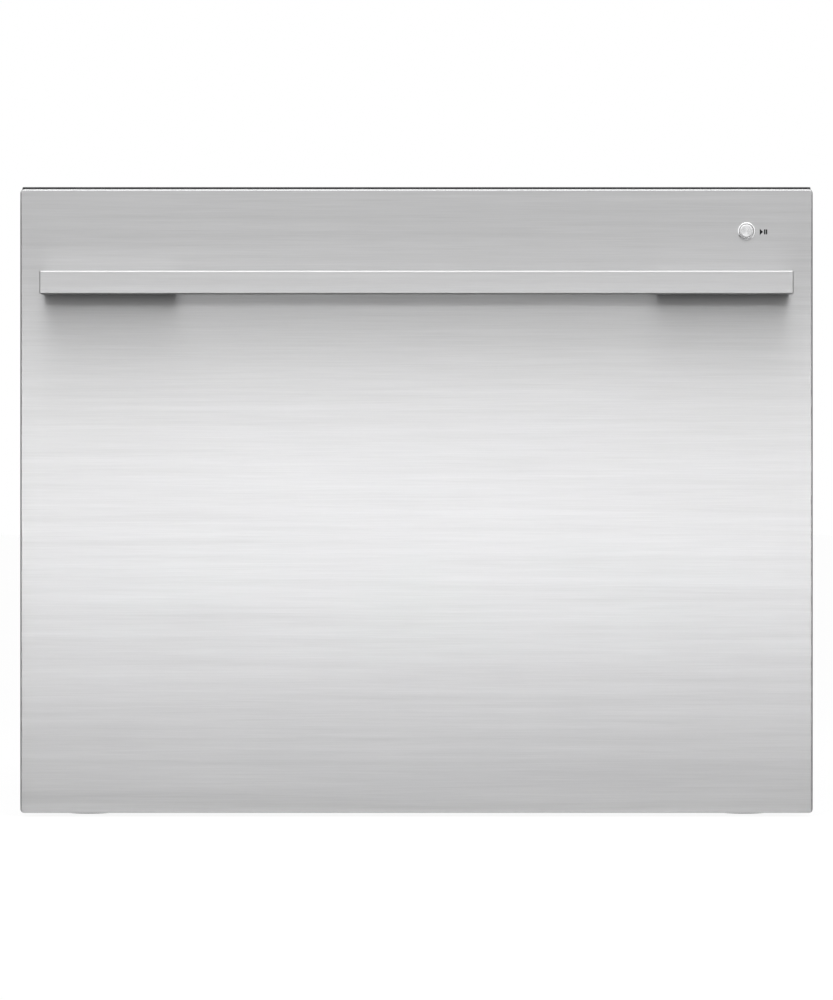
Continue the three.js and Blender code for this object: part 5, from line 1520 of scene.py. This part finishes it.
def side_panel(side, sign):
    """Sheet side with pressed grooves outside, its screws into the tray, the top and the runner."""
    name = f"side_panel_{side}"
    box, rail = Box(name), Box("outer_rail_right")
    outside = box.side(sign)
    outlines = [rounded(0.215, 0.0065, 0.0064, 5, box.y, box.z0 + 0.175 + k * 0.112) for k in range(3)]
    outlines.append(rounded(0.0065, 0.0434, 0.0064, 5, box.y0 + 0.031, box.z0 + 0.28))
    grooves = [plate("x", outline, outside - sign * 0.0006, outside + sign * 0.01) for outline in outlines]
    places = [(box.y + y, z) for z in (box.z0 + 0.008, box.z1 - 0.007) for y in (-0.22, -0.07, 0.07, 0.22)]
    places += [(rail.y0 + y, rail.z) for y in (0.03, 0.19, 0.35, 0.47)]
    piece(f"cabinet_side_{side}", "chassis", [
        from_cad(name, "zinc_sheet", 0.0003, 2, grooves),
        screws([(outside, *place) for place in places], WAY[sign], 0.0034),
    ], name)


def top_sheet():
    """Sheet top with a pressed frame and three cross grooves."""
    name = "top_panel"
    box = Box(name)
    half_u, half_v, levels = box.wide / 2 - 0.04, box.deep / 2 - 0.04, (box.z1 - 0.0005, box.z1 + 0.01)
    grooves = [plate("z", rounded(half_u, half_v, 0.02, 6, box.x, box.y), *levels,
                     [rounded(half_u - 0.011, half_v - 0.011, 0.012, 6, box.x, box.y)])]
    grooves += slots("z", rounded(half_u - 0.04, 0.0055, 0.0054, 5), *levels, (box.x, box.y - 0.11), 3,
                     (0, 0.11))
    edge = box.wide / 2 - 0.009
    places = [(box.x + x, box.y + y, box.z1) for x in (-edge, edge) for y in (-0.23, -0.08, 0.08, 0.23)]
    places += [(x, box.y1 - 0.009, box.z1) for x in (-0.2, 0, 0.2)]
    piece("cabinet_top", "chassis", [
        from_cad(name, "zinc_sheet", 0.0003, 2, grooves), screws(places, "up", 0.0032),
    ], name)


def rear_sheet():
    """Sheet back with hooded louvres, pressed grooves and screws all round."""
    name, metal = "rear_panel", "zinc_sheet"
    box = Box(name)
    back, louvre, pitch, count, top = box.y1, rounded(0.036, 0.0022, 0.0021), 0.013, 6, box.z1 - 0.06
    hood = lathe("x", [
        (0, -0.036), (0.0012, -0.036), (0.0036, -0.0325), (0.0036, 0.0325), (0.0012, 0.036), (0, 0.036),
    ], back - 0.0006, top + 0.0024, 12)
    openings, hoods = [], []
    for x in (-0.16, 0.16):
        openings += slots("y", louvre, box.y0 - 0.002, back + 0.002, (x, top), count, (0, -pitch))
        hoods.append(row(moved(hood, (x, 0, 0)), count, (0, 0, -pitch), metal))
    openings += slots("y", rounded(0.235, 0.006, 0.0059, 5), back - 0.0005, back + 0.01,
                      (box.x, box.z0 + 0.125), 3, (0, 0.065))
    half = box.wide / 2 - 0.019
    places = [(x, back, z) for x in (-half, half) for z in (0.06, 0.18, 0.3, 0.42)]
    places += [(x, back, z) for x in (-0.15, 0, 0.15) for z in (box.z0 + 0.007, box.z1 - 0.008)]
    piece("cabinet_back", "chassis", [
        from_cad(name, metal, 0.00025, 1, openings), *hoods, screws(places, "back", 0.0032),
    ], name)


def base_sheet():
    """The tray with pressed ribs below, drain holes and screws."""
    name, metal = "base_tray", "zinc_sheet"
    box = Box(name)
    y, under = box.y, box.z0
    rib = stack("z", [(0.19, 0.0055, 0.0054, under + 0.0004), (0.1885, 0.004, 0.0039, under - 0.0009)],
                box.x, y - 0.16)
    drains = slots("z", circle(0.004, 16), under - 0.002, under + 0.004, (-0.1, y + 0.215), 5, (0.05, 0))
    places = [(x, y + dy, under) for x in (-0.2825, 0.2825) for dy in (-0.14, 0, 0.14)]
    piece("cabinet_base", "chassis", [
        from_cad(name, metal, 0.0003, 2, drains), row(rib, 5, (0, 0.08, 0), metal, 0.0003),
        screws(places, "down", 0.003),
    ], name)


def front_gasket():
    """The cabinet's front seal: a flat carrier strip with two soft lips along it."""
    name, rubber, width, lip, thin = "front_trim_seal", "black_rubber", 0.011, 0.00085, 0.0004
    box = Box(name)
    x0, x1, z0, z1, y = box.x0, box.x1, box.z0, box.z1, box.y0 + lip
    carrier_front = box.y1 - 0.0016
    outline = [
        (x0, z0), (x0 + width, z0), (x0 + width, z1 - width),
        (x1 - width, z1 - width), (x1 - width, z0), (x1, z0), (x1, z1), (x0, z1),
    ]
    paths, webs = [], []
    for inset in (0.003, 0.0062):
        half, top, root = x1 - inset, z1 - inset, carrier_front + 0.0003
        paths.append([(-half, y, z0 + lip), (-half, y, top), (half, y, top), (half, y, z0 + lip)])
        webs += [block((x - thin, y, z0), (x + thin, root, top)) for x in (-half, half)]
        webs.append(block((-half, y, top - thin), (half, root, top + thin)))
    piece("front_gasket", "chassis", [
        solid(plate("y", outline, carrier_front, box.y1), rubber, 0.0003),
        wires(paths, lip, 0.004, rubber, 10),
        solid(webs, rubber),
    ], name)


class CABINET_OT_build(bpy.types.Operator):
    """Make the cabinet's sheet-metal sides, top, back and base and its front gasket"""

    bl_idname = "drawer.cabinet"
    bl_label = "Cabinet"

    def execute(self, context):
        for side, sign in SIDES:
            side_panel(side, sign)
        top_sheet()
        rear_sheet()
        base_sheet()
        front_gasket()
        return {"FINISHED"}


# ---- water, drain and mains at the back


def water_inlet():
    """Solenoid valve with its threaded hose tail, coil ribs, spade terminals and strainer."""
    name, plastic, tail, pitch, strainer = "inlet_valve", "white_plastic", 0.0123, 0.0018, 0.0092
    box, panel = Box(name), Box("rear_panel")
    x, z, rear, coil = box.x, 0.08, panel.y1, box.y0 + 0.013
    relief = tube("y", 0.02, tail, rear + 0.0008, box.y1 + 0.001, x, z, 40)
    coil_rib = block((0.0128, -0.0008, 0), (0.0138, 0.0008, 0.02))
    blade_top = box.z1 - 0.0001
    blades = [block((left, coil - 0.0004, box.z1 - 0.001), (left + 0.0032, coil + 0.0004, blade_top))
              for left in (x - 0.006, x + 0.003)]
    gauze = []
    for offset in [i * 0.0026 for i in range(-3, 4)]:
        half, depth = sqrt(strainer ** 2 - offset ** 2), rear + 0.0015
        gauze += [[(x + offset, depth, z - half), (x + offset, depth, z + half)],
                  [(x - half, depth, z + offset), (x + half, depth, z + offset)]]
    flange = [(u, panel.y0 - 0.0001, v) for u, v in corners(x, z, 0.0175, 0.0175)]
    piece("water_inlet", "chassis", [
        from_cad(name, plastic, 0.0006, 2, [relief]),
        thread(tail, pitch, (box.y1 - rear - 0.003) / pitch, 0.0007, (x, rear + pitch, z), plastic,
               TURNS["back"]),
        ring(coil_rib, 20, (x, coil, z + 0.019), "dark_plastic"), solid(blades, "copper"),
        wires(gauze, 0.0004, 0.0, plastic, 6), screws(flange, "front", 0.0026),
    ], name)


def drain_tail():
    """Drain spigot with hose barbs and a ribbed flange inside the panel."""
    name, plastic, bore, wall, pitch = "drain_outlet", "dark_plastic", 0.008, 0.0092, 0.0036
    box, panel = Box(name), Box("rear_panel")
    flange = panel.y0 - 0.0001
    profile = [
        (bore, box.y0), (wall, box.y0), (wall, flange - 0.003), (0.0175, flange - 0.003),
        (0.018, flange - 0.0025), (0.018, flange), (wall, flange),
    ]
    barb = panel.y1 + 0.001
    while barb + pitch < box.y1:
        profile += [(wall - 0.0004, barb), (0.01, barb + 0.0004), (wall - 0.0006, barb + 0.0034)]
        barb += pitch
    profile += [(wall - 0.0006, box.y1), (bore, box.y1)]
    rib = block((0.009, -0.0008, 0), (0.0165, 0.0008, 0.0018))
    piece("drain_tail", "chassis", [
        solid(lathe("y", profile, box.x, box.z, 40), plastic),
        ring(rib, 8, (box.x, flange - 0.0045, box.z), plastic, BACKWARDS),
    ], name)


def mains_box():
    """Terminal box with a screwed lid and a ribbed gland nut."""
    name, plastic = "mains_inlet", "dark_plastic"
    box, rear = Box(name), Box("rear_panel").y1
    x, z, front, half = box.x, 0.084, box.y0, box.wide / 2 - 0.006
    relief = tube("y", 0.02, 0.0084, rear + 0.0009, box.y1 + 0.001, x, z, 40)
    grip = block((0.0082, -0.0006, 0), (0.009, 0.0006, box.y1 - rear - 0.002))
    rib = block((x - half, front - 0.0006, box.z0 + 0.008),
                (x - half + 0.0016, front + 0.001, box.z1 - 0.008))
    places = [(x + a, front, level) for a in (-0.025, 0.025) for level in (box.z0 + 0.005, box.z1 - 0.005)]
    piece("mains_box", "chassis", [
        from_cad(name, plastic, 0.0008, 2, [relief]),
        ring(grip, 18, (x, rear + 0.001, z), plastic, BACKWARDS),
        row(rib, 7, (2 * half / 6 - 0.0003, 0, 0), plastic, 0.0002), screws(places, "front", 0.0024),
    ], name)


class PORTS_OT_build(bpy.types.Operator):
    """Make the water inlet, the drain tail and the mains box"""

    bl_idname = "drawer.ports"
    bl_label = "Ports"

    def execute(self, context):
        water_inlet()
        drain_tail()
        mains_box()
        return {"FINISHED"}


# ---- the feet


def levelling_foot(place):
    """Ribbed pad, hexagon nut and threaded stud."""
    name, plastic, metal = f"foot_{place}", "dark_plastic", "rail_steel"
    box = Box(name)
    x, y, rim, nut_top, stud, pitch = box.x, box.y, box.wide / 2, 0.0158, 0.0044, 0.00175
    pad = lathe("z", [
        (0, 0.0006), (rim - 0.005, 0.0006), (rim - 0.0045, 0), (rim - 0.0008, 0),
        (rim, 0.0008), (rim, 0.0034), (rim - 0.0008, 0.0042), (rim - 0.0045, 0.0044),
        (rim - 0.0062, 0.0066), (rim - 0.0072, 0.007), (0, 0.007),
    ], x, y, 48)
    tread = block((0.004, -0.0006, 0), (rim - 0.0046, 0.0006, 0.0008))
    grip = rod("z", 0.0011, 0.0008, 0.0034, rim - 0.0012, 0, 8)
    nut = skin("z", [(circle(radius, 6, x, y), z) for radius, z in (
        (0.0081, 0.007), (0.009, 0.0077), (0.009, nut_top - 0.0007), (0.0081, nut_top),
    )])
    core = rod("z", stud, nut_top - 0.001, box.z1, x, y, 20, 0.0006)
    piece(f"levelling_{place}", name, [
        solid(pad, plastic), ring(tread, 16, (x, y, 0), "black_rubber"), ring(grip, 36, (x, y, 0), plastic),
        solid([nut, core], metal, 0.0002),
        thread(stud, pitch, (box.z1 - nut_top - 0.003) / pitch, 0.0006, (x, y, nut_top + 0.001), metal),
    ], name)


class FEET_OT_build(bpy.types.Operator):
    """Make the four levelling feet"""

    bl_idname = "drawer.feet"
    bl_label = "Feet"

    def execute(self, context):
        for place in ("front_left", "front_right", "rear_left", "rear_right"):
            levelling_foot(place)
        return {"FINISHED"}


# ---- the stage


def seen_share(tree):
    """1 for rays that see a background directly, in metal or through glass, 0 for light on matt pieces."""
    path = node(tree, "ShaderNodeLightPath").outputs
    share = path["Is Camera Ray"]
    for name in ("Is Glossy Ray", "Is Transmission Ray"):
        share = maths(tree, "MAXIMUM", share, path[name])
    return share


def stage_sheet(name, points, surface):
    """A flat sheet of the stage, with the shader that surface makes in its material's tree."""
    material, tree = new_material(name)
    node(tree, "ShaderNodeOutputMaterial", Surface=surface(tree))
    mesh = bpy.data.meshes.new(name)
    mesh.from_pydata(points, [], [(0, 1, 2, 3)])
    mesh.materials.append(material)
    sheet = placed_object(name, mesh)
    return sheet


def glow(tree, strength):
    return node(tree, "ShaderNodeEmission", Color=(1, 1, 1, 1), Strength=strength)


def stage_floor():
    """A matt floor that keeps the shadow and is white where it is seen."""
    def surface(tree):
        matt = node(tree, "ShaderNodeBsdfDiffuse", Color=(0.86, 0.86, 0.86, 1))
        whiteness = maths(tree, "MULTIPLY", seen_share(tree), 0.8)
        return node(tree, "ShaderNodeMixShader", whiteness, matt, glow(tree, 1.1))

    reach = 40.0
    stage_sheet("stage_floor", [(x, y, 0) for x, y in rectangle(-reach, reach, -reach, reach)], surface)


def studio_card(name, points, level):
    """A card that only reflections see, as dark or bright studio boards are used round metal."""
    card = stage_sheet(name, points, lambda tree: glow(tree, level))
    for rays in ("camera", "diffuse", "shadow", "transmission"):
        setattr(card, f"visible_{rays}", False)


def area_lamp(name, power, width, height, place, target, spread=180.0):
    light = bpy.data.lights.new(name, "AREA")
    light.shape = "RECTANGLE"
    light.size = width
    light.size_y = height
    light.energy = power
    light.spread = radians(spread)
    lamp = placed_object(name, light)
    lamp.location = place
    lamp.rotation_euler = (Vector(target) - Vector(place)).to_track_quat("-Z", "Y").to_euler()
    lamp.visible_camera = False


def stage_world(fill):
    world = bpy.data.worlds.new("stage_world")
    bpy.context.scene.world = world
    world.use_nodes = True
    tree = world.node_tree
    tree.nodes.clear()
    strength = node(tree, "ShaderNodeMapRange", Value=seen_share(tree), To_Min=fill, To_Max=1.0)
    background = node(tree, "ShaderNodeBackground", Color=(1, 1, 1, 1), Strength=strength)
    node(tree, "ShaderNodeOutputWorld", Surface=background)


class STAGE_OT_build(bpy.types.Operator):
    """Make the camera, the floor, the world and the lamps"""

    bl_idname = "drawer.stage"
    bl_label = "Stage"

    def execute(self, context):
        scene = context.scene
        sizes = scene.drawer_stage
        scene.view_settings.view_transform = "Standard"
        face, eye_height, aim = Box("front_skin").y0, 0.2396, 0.171
        camera = bpy.data.cameras.new("camera")
        camera.sensor_width = 36.0
        camera.lens = camera.sensor_width * sizes.distance / sizes.picture_height
        camera.clip_end = 100.0
        scene.camera = placed_object("camera", camera)
        scene.camera.location = (0, face - sizes.distance, eye_height)
        scene.camera.rotation_euler = (pi / 2, 0, 0)
        stage_world(sizes.fill)
        stage_floor()
        near, far, above_floor = (0.42, face - 0.004), (3.3, face - 14.0), 0.002
        outline = [(-near[0], near[1]), near, far, (-far[0], far[1])]
        studio_card("low_card", [(x, y, above_floor) for x, y in outline], sizes.low_card)
        aside, shade = 0.335, 0.08
        for side, sign in SIDES:
            outline = rectangle(face - 0.09, face + 0.025, 0, 0.48)
            studio_card(f"{side}_flag", [(sign * aside, y, z) for y, z in outline], shade)
        # Each lamp's name, power, width, height, place, target and, for the gridded one, its spread.
        for lamp in (
            ("strip", sizes.strip, 1.7, 0.1, (0, face - 1.034, aim + 0.376), (0, face, aim), 26.0),
            ("key", sizes.key, 5.0, 2.05, (0, face - 3.5, 1.375), (0, face, 1.375)),
            ("high", sizes.high, 2.0, 0.5, (0, face - 0.9, 1.46), (0, face, 0.39)),
            ("foot", 0.1, 1.7, 0.05, (0, face - 0.45, 0.035), (0, face, 0.035)),
            ("top", sizes.top, 1.4, 0.5, (0.1, face - 0.3, 1.5), (0, face, 0.3)),
            ("side", 0.8, 0.5, 1.2, (1.5, face - 0.9, 0.5), (0.2, face, 0.3)),
        ):
            area_lamp(*lamp)
        return {"FINISHED"}


class DRAWER_PT_panel(bpy.types.Panel):
    """Lists the drawer's operators and sizes"""

    bl_idname = "DRAWER_PT_panel"
    bl_label = "Dishwasher drawer"
    bl_space_type = "VIEW_3D"
    bl_region_type = "UI"
    bl_category = "Dishwasher drawer"

    def draw(self, context):
        for step in STEPS:
            self.layout.operator(step.bl_idname)
        for name in GROUPS:
            group = getattr(context.scene, name)
            for size in group.bl_rna.properties.keys()[2:]:
                self.layout.prop(group, size)


# By the name that each has on the scene.
GROUPS = {"drawer_finishes": DrawerFinishes, "drawer_front": FrontSizes, "drawer_stage": StageSizes}
# In the order in which they are called.
STEPS = [
    STAGE_OT_build, FRONT_OT_build, CARRIER_OT_build, TUB_OT_build, SUMP_OT_build, DISPENSER_OT_build,
    RACK_OT_build, LID_OT_build, RUNNERS_OT_build, HOSES_OT_build, CABINET_OT_build, PORTS_OT_build,
    FEET_OT_build,
]
CLASSES = [*GROUPS.values(), *STEPS, DRAWER_PT_panel]


def register():
    for cls in CLASSES:
        bpy.utils.register_class(cls)
    for name, cls in GROUPS.items():
        setattr(bpy.types.Scene, name, bpy.props.PointerProperty(type=cls))


def unregister():
    for name in GROUPS:
        delattr(bpy.types.Scene, name)
    for cls in reversed(CLASSES):
        bpy.utils.unregister_class(cls)


def main():
    register()
    for step in STEPS:
        group, name = step.bl_idname.split(".")
        getattr(getattr(bpy.ops, group), name)()


if __name__ == "__main__":
    main()
